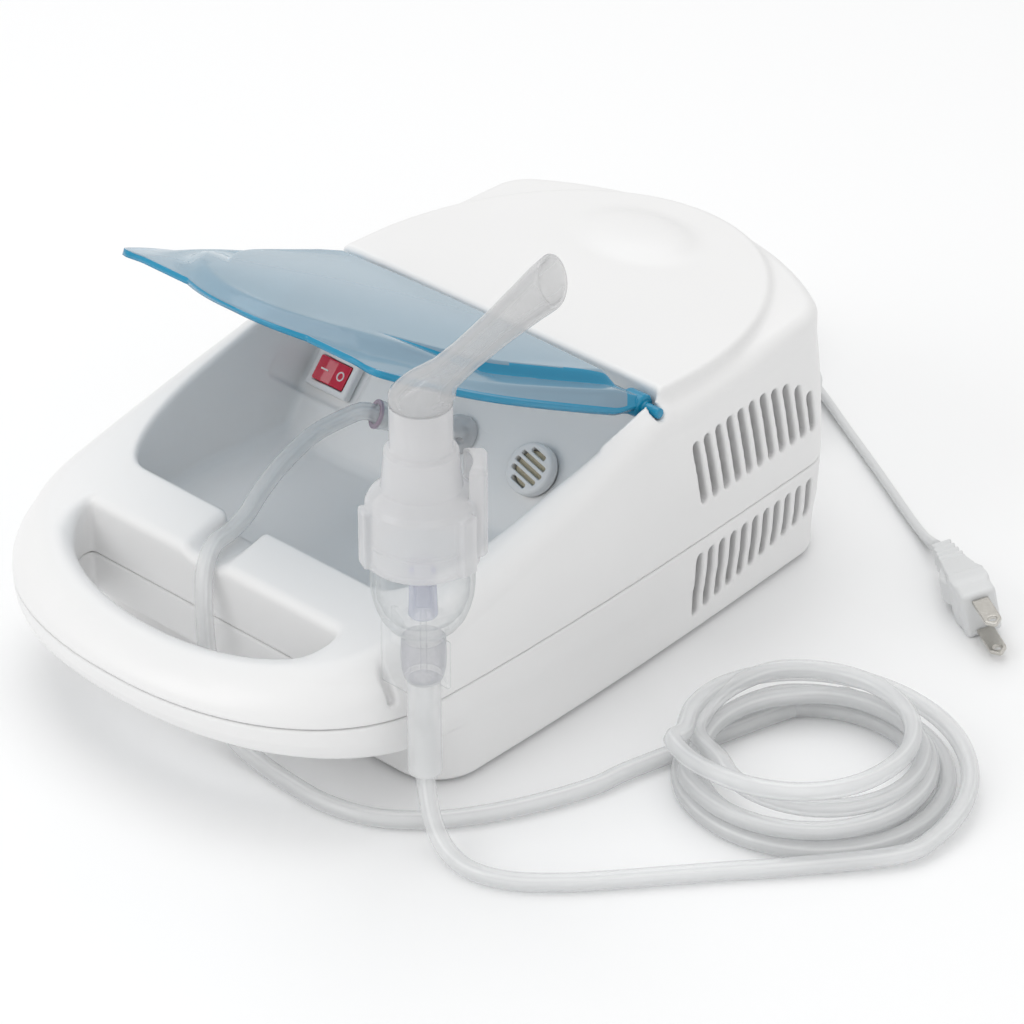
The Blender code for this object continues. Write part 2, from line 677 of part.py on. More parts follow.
def make_cup_cap():
    outer = [
        (8.6, CHIMNEY_TOP / MM), (10.2, CHIMNEY_TOP / MM), (10.2, 150), (12.5, 149), (13.4, 135), (18.6, 131),
        (20, 129), (20, 104),
    ]
    inner = [(17.5, 104), (17.5, 117.5), (16.8, 128), (12, 131), (10.6, 147), (8.6, 150)]
    cap = kit_turned("cup_cap", outer + inner, "frosted", closed=True)
    chamber = box("cap_chamber", (16 * MM, 20 * MM, 18 * MM), (0, 0, 0), bevel=2 * MM)
    chamber.location = (KIT_X + 9 * MM, KIT_Y + 6 * MM, 141 * MM)
    chamber.rotation_euler = (0, 0, math.radians(44))
    combine(cap, chamber, "UNION")
    combine(cap, cylinder("cap_bore", 8.3 * MM, 30 * MM, (KIT_X, KIT_Y, 145 * MM), sides=28))
    for angle in (44, 224):
        a = math.radians(angle)
        at = (KIT_X + 20 * MM * math.cos(a), KIT_Y + 20 * MM * math.sin(a), 116 * MM)
        combine(cap, box(f"cap_lug_{angle}", (5 * MM, 9 * MM, 22 * MM), at, turn=(0, 0, a)), "UNION")


MOUTH_TURN = math.radians(21)
MOUTH_LEAN = math.radians(42)
MOUTH_SIDES = 16


def make_mouthpiece():
    """A socket over the chimney, an elbow and a leaning barrel that flattens towards its slanted tip."""
    out = Vector((math.cos(MOUTH_TURN), math.sin(MOUTH_TURN), 0))
    side = Vector((-math.sin(MOUTH_TURN), math.cos(MOUTH_TURN), 0))
    base = Vector((KIT_X, KIT_Y, CHIMNEY_TOP + GAP))
    lean = out * math.sin(MOUTH_LEAN) + Vector((0, 0, 1)) * math.cos(MOUTH_LEAN)
    # (distance along, lean of the section, half width across, half width in the plane of the bend)
    stations = [
        (0, 0, 10.2, 10.2), (3, 0.15, 10.2, 10.4), (9, 0.65, 10, 10.2), (16, 1, 9.4, 9.4), (30, 1, 8.8, 8.6)
    ]
    stations += [(45, 1, 8.6, 8.0), (58, 1, 8.8, 7.2), (67, 1.55, 9.4, 7.6)]
    rings = []
    for shell in (0, 1.4):
        rows = []
        for distance, bend, across, through in stations:
            turn = MOUTH_LEAN * min(bend, 1)
            tip = (bend - 1) * MOUTH_LEAN if bend > 1 else 0
            centre = base + Vector((0, 0, 1)) * min(distance, 5) * MM + lean * max(distance - 5, 0) * MM
            normal_turn = turn + tip
            v = out * math.cos(normal_turn) - Vector((0, 0, 1)) * math.sin(normal_turn)
            row = []
            for i in range(MOUTH_SIDES):
                a = 2 * math.pi * i / MOUTH_SIDES
                row.append(
                    centre + side * (across - shell) * MM * math.cos(a) + v * (
                        through - shell
                    ) * MM * math.sin(a)
                )
            rows.append(row)
        rings.append(rows)
    path = rings[0] + rings[1][::-1]
    bm = bmesh.new()
    rows = [[bm.verts.new(p) for p in row] for row in path]
    for low, high in zip(rows, rows[1:] + rows[:1]):
        for i in range(MOUTH_SIDES):
            j = (i + 1) % MOUTH_SIDES
            bm.faces.new((low[i], low[j], high[j], high[i]))
    piece = from_bmesh("mouthpiece", bm, "frosted")
    return piece


# Air tube ----------------------------------------------------------------------


def mm_points(points):
    return [(x * MM, y * MM, z * MM) for x, y, z in points]


def make_air_tube():
    start = [tuple(c / MM for c in along_outlet(d * MM)) for d in (21.8, 32, 38)]
    first = start + [
        (-17.5, 1, 78.5), (-18.5, -12, 77), (-16.5, -28, 73.5), (-13, -42, 69.5), (-8.5, -54, 66.3)
    ]
    first += [
        (-6, -64, 65.0), (-4.5, -72, 64.8), (-1, -79.5, 60.8), (3, -84.5, 52), (6, -87, 40), (9.5, -88.5, 27),
        (15, -89.8, 15.5),
    ]
    first += [
        (24, -91, 7), (36, -91.5, 3.9), (51, -92.5, 3.3), (69, -92.5, 3.3), (86, -87.5, 3.3), (99, -77.5, 3.3)
    ]
    first += [(109, -65, 3.3), (119, -46, 3.3), (127, -23, 3.3), (130.2, -2, 3.3)]
    tube("air_tube_outlet_run", smooth_curve(mm_points(first), 34), TUBE_R, "clear")
    w, h, r = COIL_HALF_W, COIL_H, COIL_R
    ring_profile = [(r - w, h), (r + w, h), (r + w, 0.2 * MM), (r - w, 0.2 * MM)]
    turned("air_tube_coil", ring_profile, (COIL_X, COIL_Y, 0), "clear", closed=True)
    second = [
        (203.5, -14.5, 3.3), (193, -27, 3.3), (181, -42, 3.3), (169, -57, 3.3), (157, -71, 3.3),
        (144, -82, 3.3),
    ]
    second += [
        (131, -86.5, 3.4), (120, -85.5, 4.6), (111.5, -83, 9), (106.5, -81, 16.5), (104.2, -80.1, 26),
        (104, -80, 36),
    ]
    second += [(104, -80, 44.6)]
    tube("air_tube_kit_run", smooth_curve(mm_points(second), 22), TUBE_R, "clear")
    cuff = [(5.7, 63), (5.7, 27), (3.5, 27), (3.5, 45), (2.9, 45.3), (2.9, 63)]
    kit_turned("kit_cuff", cuff, "clear", closed=True, steps=20)


# Mains lead --------------------------------------------------------------------


PLUG_WAY = math.atan2(-0.532, 0.847)
PLUG_ROLL = math.radians(12)
PLUG_AT = (121 * MM, 168.6 * MM, 9.8 * MM)


def make_mains_lead():
    (x, y), turn = rear_wall(CORD_X)
    relief = [
        (0, 31), (3.2, 31), (4.6, 5), (6, 4.6), (6, 2.2), (3.9, 2.2), (3.9, -3.2), (5.4, -3.2), (5.4, -6),
        (0, -6),
    ]
    turned(
        "strain_relief", [(r * MM, z * MM) for r, z in relief], (x, y, CORD_Z), "cord_white",
        turn=(-math.pi / 2, 0, -turn), steps=20,
    )
    first = [(20.1, 206.8, 16), (20.6, 212, 16), (18, 219.5, 16.1), (12, 226, 16.3), (3, 229.6, 16.4)]
    first += [(-7, 229.5, 16.5), (-15.5, 225.5, 16.5), (-21.5, 218, 16.5), (-24.8, 208, 16.5)]
    tube("mains_cord_housing_run", smooth_curve(mm_points(first), 11), CORD_R, "cord_white")
    r, w, h = CORD_COIL_R, 7 * MM, CORD_COIL_H
    profile = [(r - w, h), (r + w, h), (r + w, 0.2 * MM), (r - w, 0.2 * MM)]
    turned("mains_cord_coil", profile, (CORD_COIL_X, CORD_COIL_Y, 0), "cord_white", closed=True)
    tie = box(
        "cord_tie", (17 * MM, 5 * MM, h + 1.8 * MM), (CORD_COIL_X - r, CORD_COIL_Y, (h + 1.9 * MM) / 2),
        "rubber",
    )
    combine(
        tie,
        box(
            "tie_hole", (15.2 * MM, 9 * MM, h + 0.3 * MM),
            (CORD_COIL_X - r, CORD_COIL_Y, (h + 0.2 * MM) / 2 + 0.05 * MM),
        ),
    )
    second = [
        (-8, 243.8, 3.1), (10, 234.5, 3.1), (33, 222, 3.1), (61, 206, 3.1), (93, 187, 3.1), (108, 178, 3.6)
    ]
    second += [(114.5, 173, 6.2), (119.4, 169.6, 9.3)]
    tube("mains_cord_plug_run", smooth_curve(mm_points(second), 14), CORD_R, "cord_white")

    frame = bpy.data.objects.new("plug_frame", None)
    bpy.context.scene.collection.objects.link(frame)
    frame.parent = ROOT
    frame.location = PLUG_AT
    frame.rotation_euler = (PLUG_ROLL, 0, PLUG_WAY)
    # along, half thickness, half height of the moulded body
    stations = [
        (0.4, 3.4, 3.4), (14, 4.6, 5.4), (17, 6.4, 8.6), (30, 6.8, 9.4), (42, 6.4, 8.6), (45, 5.6, 7.8)
    ]
    bm = bmesh.new()
    rows = []
    for x, thick, tall in stations:
        row = []
        for i in range(16):
            a = 2 * math.pi * (i + 0.5) / 16
            c, s = math.cos(a), math.sin(a)
            row.append(bm.verts.new((
                x * MM, math.copysign(
                    abs(c) ** 0.6, c
                ) * thick * MM, math.copysign(abs(s) ** 0.6, s) * tall * MM
            )))
        rows.append(row)
    for low, high in zip(rows, rows[1:]):
        for i in range(16):
            j = (i + 1) % 16
            bm.faces.new((low[i], low[j], high[j], high[i]))
    bm.faces.new(rows[0])
    bm.faces.new(rows[-1])
    from_bmesh("plug_body", bm, "cord_white", frame)
    for name, side in (("plug_blade_upper", 1), ("plug_blade_lower", -1)):
        at = (54 * MM, 0, side * 6.35 * MM)
        blade = box(name, (17 * MM, 6.3 * MM, 1.5 * MM), at, "nickel", parent=frame)
        combine(
            blade,
            cylinder(
                f"{name}_hole", 1.6 * MM, 6 * MM, (59 * MM, 0, side * 6.35 * MM), sides=12, parent=frame
            ),
        )


# Pump --------------------------------------------------------------------------


ALONG_X = (0, math.pi / 2, 0)


def at_shaft(x, dy=0.0, dz=0.0):
    return (x * MM, SHAFT_Y + dy * MM, SHAFT_Z + dz * MM)


def make_motor():
    core = box("stator_core", (28 * MM, 68 * MM, 56 * MM), at_shaft(-10, 6), "steel")
    combine(core, cylinder("rotor_bore", 16.3 * MM, 40 * MM, at_shaft(-10), turn=ALONG_X, sides=28))
    combine(core, box("coil_window", (40 * MM, 10 * MM, 36 * MM), at_shaft(-10, 25)))
    coil = box("motor_coil", (44 * MM, 26 * MM, 35 * MM), at_shaft(-10, 33.6), "copper", bevel=3 * MM)
    combine(coil, box("coil_hole", (28.6 * MM, 10.6 * MM, 50 * MM), at_shaft(-10, 35)))
    for name, x in (("bearing_bracket_left", -38), ("bearing_bracket_right", 18)):
        bracket = box(name, (2 * MM, 26 * MM, 48.7 * MM), at_shaft(x, 0, -8.35), "steel")
        combine(bracket, cylinder(f"{name}_hole", 7.3 * MM, 10 * MM, at_shaft(x), turn=ALONG_X, sides=20))
        bush = [(7, 3.5), (7, -3.5), (3.4, -3.5), (3.4, 3.5)]
        bush_name = name.replace("bracket", "bush")
        turned(
            bush_name, [(r * MM, z * MM) for r, z in bush], at_shaft(x), "copper", turn=ALONG_X, closed=True,
            steps=20,
        )
    cylinder("motor_shaft", 3 * MM, 83.4 * MM, at_shaft(-18.3), "steel", turn=ALONG_X, sides=16)
    ring_profile = [(15.6, 14), (15.6, -14), (3.3, -14), (3.3, 14)]
    turned(
        "rotor", [
            (r * MM, z * MM) for r, z in ring_profile
        ], at_shaft(-10), "steel", turn=ALONG_X, closed=True, steps=18
    )
    bm = bmesh.new()
    rows = []
    for k in range(3):
        row = []
        for i in range(48):
            a = 2 * math.pi * i / 48
            blade = 0.5 + 0.5 * math.cos(6 * a)
            r = 11 * MM + 15 * MM * blade**0.6
            turn = a + math.radians(14) * k
            row.append(
                bm.verts.new(
                    (-58 * MM + 4 * MM * k, SHAFT_Y + r * math.cos(turn), SHAFT_Z + r * math.sin(turn))
                )
            )
        rows.append(row)
    for low, high in zip(rows, rows[1:]):
        for i in range(48):
            j = (i + 1) % 48
            bm.faces.new((low[i], low[j], high[j], high[i]))
    for row in (rows[0], rows[-1]):
        bmesh.ops.triangulate(bm, faces=[bm.faces.new(row)])
    fan = from_bmesh("cooling_fan", bm, "fan_black")
    combine(fan, cylinder("fan_bore", 3.3 * MM, 40 * MM, at_shaft(-54), turn=ALONG_X, sides=16))


def make_compressor():
    x = CRANK_X / MM
    crank = cylinder("crank", 10 * MM, 6 * MM, at_shaft(x - 2.4), "steel", turn=ALONG_X, sides=24)
    pin = cylinder("crank_pin", 2.5 * MM, 12 * MM, at_shaft(x + 6, 0, THROW / MM), turn=ALONG_X, sides=14)
    combine(crank, pin, "UNION")
    rod = cylinder(
        "wobble_piston", 7 * MM, 7 * MM, at_shaft(x + 6, 0, THROW / MM), "aluminium", turn=ALONG_X, sides=20
    )
    combine(rod, box("rod_web", (5 * MM, 7 * MM, 26 * MM), at_shaft(x + 6, 0, THROW / MM + 16)), "UNION")
    combine(
        rod, cylinder("piston_disc", 12 * MM, 4 * MM, at_shaft(x + 6, 0, THROW / MM + 29), sides=24), "UNION"
    )
    combine(
        rod, cylinder("rod_eye", 2.8 * MM, 12 * MM, at_shaft(x + 6, 0, THROW / MM), turn=ALONG_X, sides=14)
    )
    centre = ((x + 6) * MM, SHAFT_Y, 0)
    bore = [(18, 84), (18, 66), (15, 66), (15, 84)]
    barrel = turned(
        "pump_cylinder", [(r * MM, z * MM) for r, z in bore], centre, "aluminium", closed=True, steps=18
    )
    for side in (-1, 1):
        at = ((x + 6) * MM, SHAFT_Y + side * 18.5 * MM, 40 * MM)
        combine(barrel, box(f"cylinder_leg_{side + 1}", (10 * MM, 5 * MM, 57 * MM), at), "UNION")
    cylinder("valve_plate", 18 * MM, 1.4 * MM, ((x + 6) * MM, SHAFT_Y, 85.0 * MM), "steel", sides=24)
    head = cylinder(
        "cylinder_head", 18 * MM, 8.6 * MM, ((x + 6) * MM, SHAFT_Y, 90.3 * MM), "aluminium", sides=24
    )
    for i, dx in enumerate((-8, 8)):
        at = ((x + 6 + dx) * MM, SHAFT_Y - 20 * MM, 90.3 * MM)
        combine(
            head, cylinder(f"head_port_{i}", 2.6 * MM, 16 * MM, at, turn=(math.pi / 2, 0, 0), sides=12),
            "UNION",
        )
    port_y = SHAFT_Y / MM - 28.3
    seat_end = tuple(c / MM for c in panel_point(FILTER_X, 0, -19.2 * MM))
    intake = [
        seat_end, tuple(c / MM for c in panel_point(FILTER_X, 0, -26 * MM)), (x + 13.5, port_y - 11, 61)
    ]
    intake += [
        (x + 15, port_y - 10.5, 72), (x + 14.5, port_y - 11, 84), (x + 14, port_y - 7, 89.5),
        (x + 14, port_y, 90.3),
    ]
    outlet_end = tuple(c / MM for c in panel_point(OUTLET_X, 0, -16.9 * MM))
    outlet = [outlet_end, tuple(c / MM for c in panel_point(OUTLET_X, 0, -24 * MM)), (10, port_y - 13, 60)]
    outlet += [(17, port_y - 12, 73), (24, port_y - 12, 84), (x - 2, port_y - 8, 89.5), (x - 2, port_y, 90.3)]
    tube("intake_hose", smooth_curve(mm_points(intake), 11), 3 * MM, "silicone")
    tube("pressure_hose", smooth_curve(mm_points(outlet), 11), 3 * MM, "silicone")


def make_chassis():
    box("mounting_plate", (104 * MM, 80 * MM, 2 * MM), (-5 * MM, 116 * MM, 10 * MM), "steel", bevel=0.4 * MM)
    for name, sx, sy in (
        ("front_left", -1, -1), ("front_right", 1, -1), ("rear_left", -1, 1), ("rear_right", 1, 1)
    ):
        at = (-5 * MM + sx * 42 * MM, 118 * MM + sy * 34 * MM, 6.55 * MM)
        cylinder(f"mount_bush_{name}", 5 * MM, 4.3 * MM, at, "rubber", sides=14)
    for (x, y), name in zip(FOOT_PLACES, ("rear_left", "rear_right", "front_left", "front_right")):
        cylinder(f"foot_{name}", 6 * MM, 2.7 * MM, (x, y, 1.35 * MM), "rubber", sides=14)
    for (x, y), name in zip(SCREW_PLACES, ("rear_left", "rear_right", "front_left", "front_right")):
        screw = [(0, 55), (1.5, 54), (1.5, 25.7), (3.1, 25.7), (3.1, 23.4), (0, 23.4)]
        turned(f"base_screw_{name}", [(r * MM, z * MM) for r, z in screw], (x, y, 0), "steel", steps=8)


CORD_NODES = (
    "air_tube_outlet_run", "air_tube_coil", "air_tube_kit_run", "outlet_cuff", "kit_cuff", "strain_relief",
    "mains_cord_housing_run", "mains_cord_coil", "cord_tie", "mains_cord_plug_run", "plug_body",
    "plug_blade_upper", "plug_blade_lower",
)


def centre_on_footprint():
    """Moves the root so that the nebulizer without its cords stands centred over the origin."""
    depsgraph = bpy.context.evaluated_depsgraph_get()
    low, high = Vector((1e9,) * 3), Vector((-1e9,) * 3)
    for ob in PARTS.objects:
        if ob.name in CORD_NODES:
            continue
        done = ob.evaluated_get(depsgraph)
        for vertex in done.to_mesh().vertices:
            at = done.matrix_world @ vertex.co
            low = Vector(map(min, low, at))
            high = Vector(map(max, high, at))
    ROOT.location = (-(low.x + high.x) / 2, -(low.y + high.y) / 2, -low.z)


make_upper_housing()
make_lower_housing()
make_lid()
make_switch()
make_air_filter()
make_air_outlet()
make_cup()
make_baffle()
make_cup_cap()
make_mouthpiece()
make_air_tube()
make_mains_lead()
make_motor()
make_compressor()
make_chassis()
centre_on_footprint()
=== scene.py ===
"""The looks of the tabletop nebulizer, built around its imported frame.

Shapes are given in millimetres in the design frame: X across, -Y the handle, +Y the rear, Z up.
Moulded pieces are fields: a function of x, y, z that is negative inside and about the distance outside.
solid() turns a field into a smooth closed mesh. Turned pieces, the lid, the mouthpiece and the cords are
meshes made point by point.
"""

import math

import bpy
import numpy as np
from mathutils import Euler, Matrix, Vector


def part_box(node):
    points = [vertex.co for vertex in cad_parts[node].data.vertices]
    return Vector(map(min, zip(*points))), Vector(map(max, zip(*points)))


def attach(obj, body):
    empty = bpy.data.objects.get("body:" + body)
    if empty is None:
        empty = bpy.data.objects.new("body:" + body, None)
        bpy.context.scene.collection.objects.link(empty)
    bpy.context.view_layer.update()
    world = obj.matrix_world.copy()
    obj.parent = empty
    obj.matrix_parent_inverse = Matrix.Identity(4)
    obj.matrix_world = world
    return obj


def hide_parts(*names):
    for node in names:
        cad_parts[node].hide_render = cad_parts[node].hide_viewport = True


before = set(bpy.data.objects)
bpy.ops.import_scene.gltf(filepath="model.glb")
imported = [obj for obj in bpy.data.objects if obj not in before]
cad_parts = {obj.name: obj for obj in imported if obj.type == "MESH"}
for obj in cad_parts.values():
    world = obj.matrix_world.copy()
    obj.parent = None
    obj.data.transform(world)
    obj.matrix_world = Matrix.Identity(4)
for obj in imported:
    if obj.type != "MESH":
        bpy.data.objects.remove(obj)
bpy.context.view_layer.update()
MM = 0.001

# The design frame: x = 0 is the housing's middle, and y is counted from the handle's outer end
FRONT_Y = -127.0
_low, _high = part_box("upper_housing")
SHIFT = Vector(((_low.x + _high.x) / 2, _low.y - FRONT_Y * MM, 0.0))

# Housing
FRONT_START_Y, WIDE_HALF, REAR_HALF, REAR_Y, REAR_BULGE = -62.0, 93.0, 80.0, 150.0, 29.0
CORNER_R, FRONT_POWER = 9.0, 2.2
BASE_Z, SEAM_Z, DECK_Z, DECK_FRONT_Y, RIM_SLOPE = 1.5, 40.0, 101.0, 62.0, 0.277
SHOULDER_R, TOP_TAPER, WALL, SEAM_GAP = 11.0, 3.0, 2.6, 0.3
SKIRT_INSET, SKIRT_FRONT_Y = 2.2, -61.0
TRAY_FLOOR_Z, TRAY_FRONT_Y, TRAY_HALF = 43.2, -60.0, 78.0
OPEN_BACK_Y, OPEN_FRONT_Y, OPEN_HALF, OPEN_INSET = -74.0, -110.0, 66.0, 4.0
NOTCH_X, NOTCH_HALF, NOTCH_Z = -4.5, 8.5, 60.5
DOME_AT, DOME_HALF, DOME_RISE = (-5, 141), (25, 18), 4.6
VENT_COUNT = 11
HINGE_Y, HINGE_Z, LID_OPEN, LID_LENGTH, LID_T = 57.0, 97.0, 38.0, 127.0, 2.2
PANEL_TILT, PANEL_Y, PANEL_Z, PANEL_TOP_Z = math.radians(40.2), 40.0, 64.0, 90.0
SWITCH_X, OUTLET_X, FILTER_X, ROCKER_TILT = -60.5, 3.0, 40.0, 8

# Places under the base, as (x, y)
SCREW_PLACES = {
    "rear_left": (-67, 141), "rear_right": (67, 141), "front_left": (-70, -30), "front_right": (70, -30)
}
FOOT_PLACES = ((-62, 122), (62, 122), (-72, -44), (72, -44))

# Kit and cords
KIT_X, KIT_Y, CHIMNEY_TOP = 104.0, -80.0, 165.5
TUBE_R, TUBE_BORE_R, COIL_AT = 3.2, 1.7, (174.0, 34.0)
LEAD_WIDE, LEAD_THICK, LEAD_X, LEAD_Z = 6.6, 3.4, 16.0, 16.0
LEAD_COIL_AT = (-50.0, 226.0)
PLUG_AT, PLUG_WAY, PLUG_ROLL = (121.0, 168.6, 9.8), math.atan2(-0.532, 0.847), math.radians(12)


def metres(points):
    """Design millimetres to the frame's metres."""
    return np.asarray(points, float) * MM + np.array(SHIFT)


# Camera


def make_camera():
    azimuth, elevation, distance = math.radians(43.9), math.radians(30.9), 1.6117
    back = Vector(
        (
            math.sin(azimuth) * math.cos(elevation), -math.cos(azimuth) * math.cos(elevation),
            math.sin(elevation),
        )
    )
    camera = bpy.data.objects.new("camera", bpy.data.cameras.new("camera"))
    camera.data.sensor_width = 36.0
    camera.data.lens = 155.35
    camera.location = Vector(metres((0.4, 68.9, 18.7))) + back * distance
    camera.rotation_euler = back.to_track_quat("Z", "Y").to_euler()
    bpy.context.scene.collection.objects.link(camera)
    bpy.context.scene.camera = camera


# Materials


class Shader:
    """A material's node tree, built a node at a time."""

    def __init__(self, name):
        self.material = bpy.data.materials.new(name)
        self.material.use_nodes = True
        self.tree = self.material.node_tree
        self.surface = self.tree.nodes["Principled BSDF"]
        self.output = self.tree.nodes["Material Output"]
        self.place = self.node("ShaderNodeTexCoord").outputs["Object"]

    def node(self, kind, inputs=(), **settings):
        made = self.tree.nodes.new(kind)
        for key, value in settings.items():
            setattr(made, key, value)
        for key, value in dict(inputs).items():
            if isinstance(value, bpy.types.NodeSocket):
                self.tree.links.new(value, made.inputs[key])
            else:
                made.inputs[key].default_value = value
        return made

    def set(self, **values):
        for key, value in values.items():
            name = key.replace("_", " ")
            if isinstance(value, bpy.types.NodeSocket):
                self.tree.links.new(value, self.surface.inputs[name])
            else:
                self.surface.inputs[name].default_value = value

    def noise(self, scale, detail=3.0, stretch=(1, 1, 1)):
        at = self.node("ShaderNodeMapping", {"Vector": self.place, "Scale": stretch}).outputs[0]
        return self.node(
            "ShaderNodeTexNoise", {"Vector": at, "Scale": scale, "Detail": detail}
        ).outputs["Fac"]

    def between(self, fac, low, high):
        """A number from low to high as fac goes from 0.3 to 0.7."""
        inputs = {"Value": fac, "From Min": 0.3, "From Max": 0.7, "To Min": low, "To Max": high}
        return self.node("ShaderNodeMapRange", inputs).outputs["Result"]

    def mix_colour(self, fac, a, b):
        inputs = {0: fac, 6: (*a, 1), 7: (*b, 1)}
        return self.node("ShaderNodeMix", inputs, data_type="RGBA").outputs[2]

    def bump(self, height, strength, distance=0.0002):
        made = self.node("ShaderNodeBump", {"Height": height, "Strength": strength, "Distance": distance})
        return made.outputs["Normal"]


def plastic(name, colour, rough, grain=2600.0, depth=0.05, coat=0.0, glow=0.0):
    """Moulded plastic: a fine even texture, a slow drift of tone, and uneven gloss."""
    s = Shader(name)
    darker = tuple(c * 0.965 for c in colour)
    s.set(Base_Color=s.mix_colour(s.noise(18.0, 4.0), darker, colour))
    s.set(Roughness=s.between(s.noise(60.0), rough * 0.95, rough * 1.05), IOR=1.5)
    s.set(Normal=s.bump(s.noise(grain, 2.0), depth, 0.0001))
    s.set(Coat_Weight=coat, Coat_Roughness=0.12)
    if glow:
        s.set(Subsurface_Weight=glow, Subsurface_Radius=(0.004, 0.001, 0.001), Subsurface_Scale=0.6)
    return s.material


def see_through(name, face, edge, cover_face, cover_edge, rough, reflection_lines=0.0, tint=(1, 1, 1)):
    """Clear or milky plastic: each wall covers what is behind it a little, and more where it is on edge."""
    s = Shader(name)
    facing = s.node("ShaderNodeLayerWeight", {"Blend": 0.5}).outputs["Facing"]
    bent = s.node("ShaderNodeMath", {0: facing, 1: 2.2}, operation="POWER").outputs[0]
    s.set(
        Base_Color=s.mix_colour(bent, face, edge), Roughness=rough, IOR=1.47, Coat_Weight=0.4,
        Coat_Roughness=0.05,
    )
    s.set(Normal=s.bump(s.noise(140.0, 2.0), 0.02, 0.0003))
    cover = s.node(
        "ShaderNodeMapRange", {"Value": bent, "To Min": cover_face, "To Max": cover_edge}
    ).outputs["Result"]
    # Stripes marked on the mesh cover more here: they are painted reflection lines, standing in for the lines
    # that light draws along a clear tube's walls.
    if reflection_lines:
        painted_reflection_line = s.node("ShaderNodeAttribute", attribute_name="painted_reflection_line").outputs["Fac"]
        inputs = {0: painted_reflection_line, 1: reflection_lines, 2: cover}
        cover = s.node("ShaderNodeMath", inputs, operation="MULTIPLY_ADD", use_clamp=True).outputs[0]
    clear = s.node("ShaderNodeBsdfTransparent", {"Color": (*tint, 1)}).outputs[0]
    mixed = s.node("ShaderNodeMixShader", {0: cover, 1: clear, 2: s.surface.outputs[0]}).outputs[0]
    s.tree.links.new(mixed, s.output.inputs["Surface"])
    return s.material


def metal(name, colour, rough, stretch=(1, 1, 1), grain=700.0, depth=0.15):
    s = Shader(name)
    marks = s.noise(grain, 4.0, stretch)
    s.set(Base_Color=s.mix_colour(s.noise(90.0), tuple(c * 0.85 for c in colour), colour), Metallic=1.0)
    s.set(Roughness=s.between(marks, rough * 0.75, rough * 1.3), Normal=s.bump(marks, depth, 0.0001))
    return s.material


def striped(name, colour, rough, metallic, pitch, axis, depth=0.6):
    """Laminations or windings: fine grooves across one axis."""
    s = Shader(name)
    wave = s.node(
        "ShaderNodeTexWave", {
            "Vector": s.place, "Scale": 1 / pitch / 20 * 6.2832 / 2, "Distortion": 0.3, "Detail": 1.0
        },
        bands_direction=axis,
    ).outputs["Fac"]
    s.set(Base_Color=s.mix_colour(wave, tuple(c * 0.45 for c in colour), colour), Metallic=metallic)
    s.set(Roughness=rough, Normal=s.bump(wave, depth, 0.0004))
    return s.material


def felt():
    s = Shader("felt")
    fibres = s.noise(1500.0, 6.0, (1, 1, 0.4))
    s.set(Base_Color=s.mix_colour(fibres, (0.46, 0.40, 0.27), (0.74, 0.68, 0.52)), Roughness=0.95)
    s.set(Sheen_Weight=0.4, Normal=s.bump(fibres, 0.9, 0.0005))
    return s.material


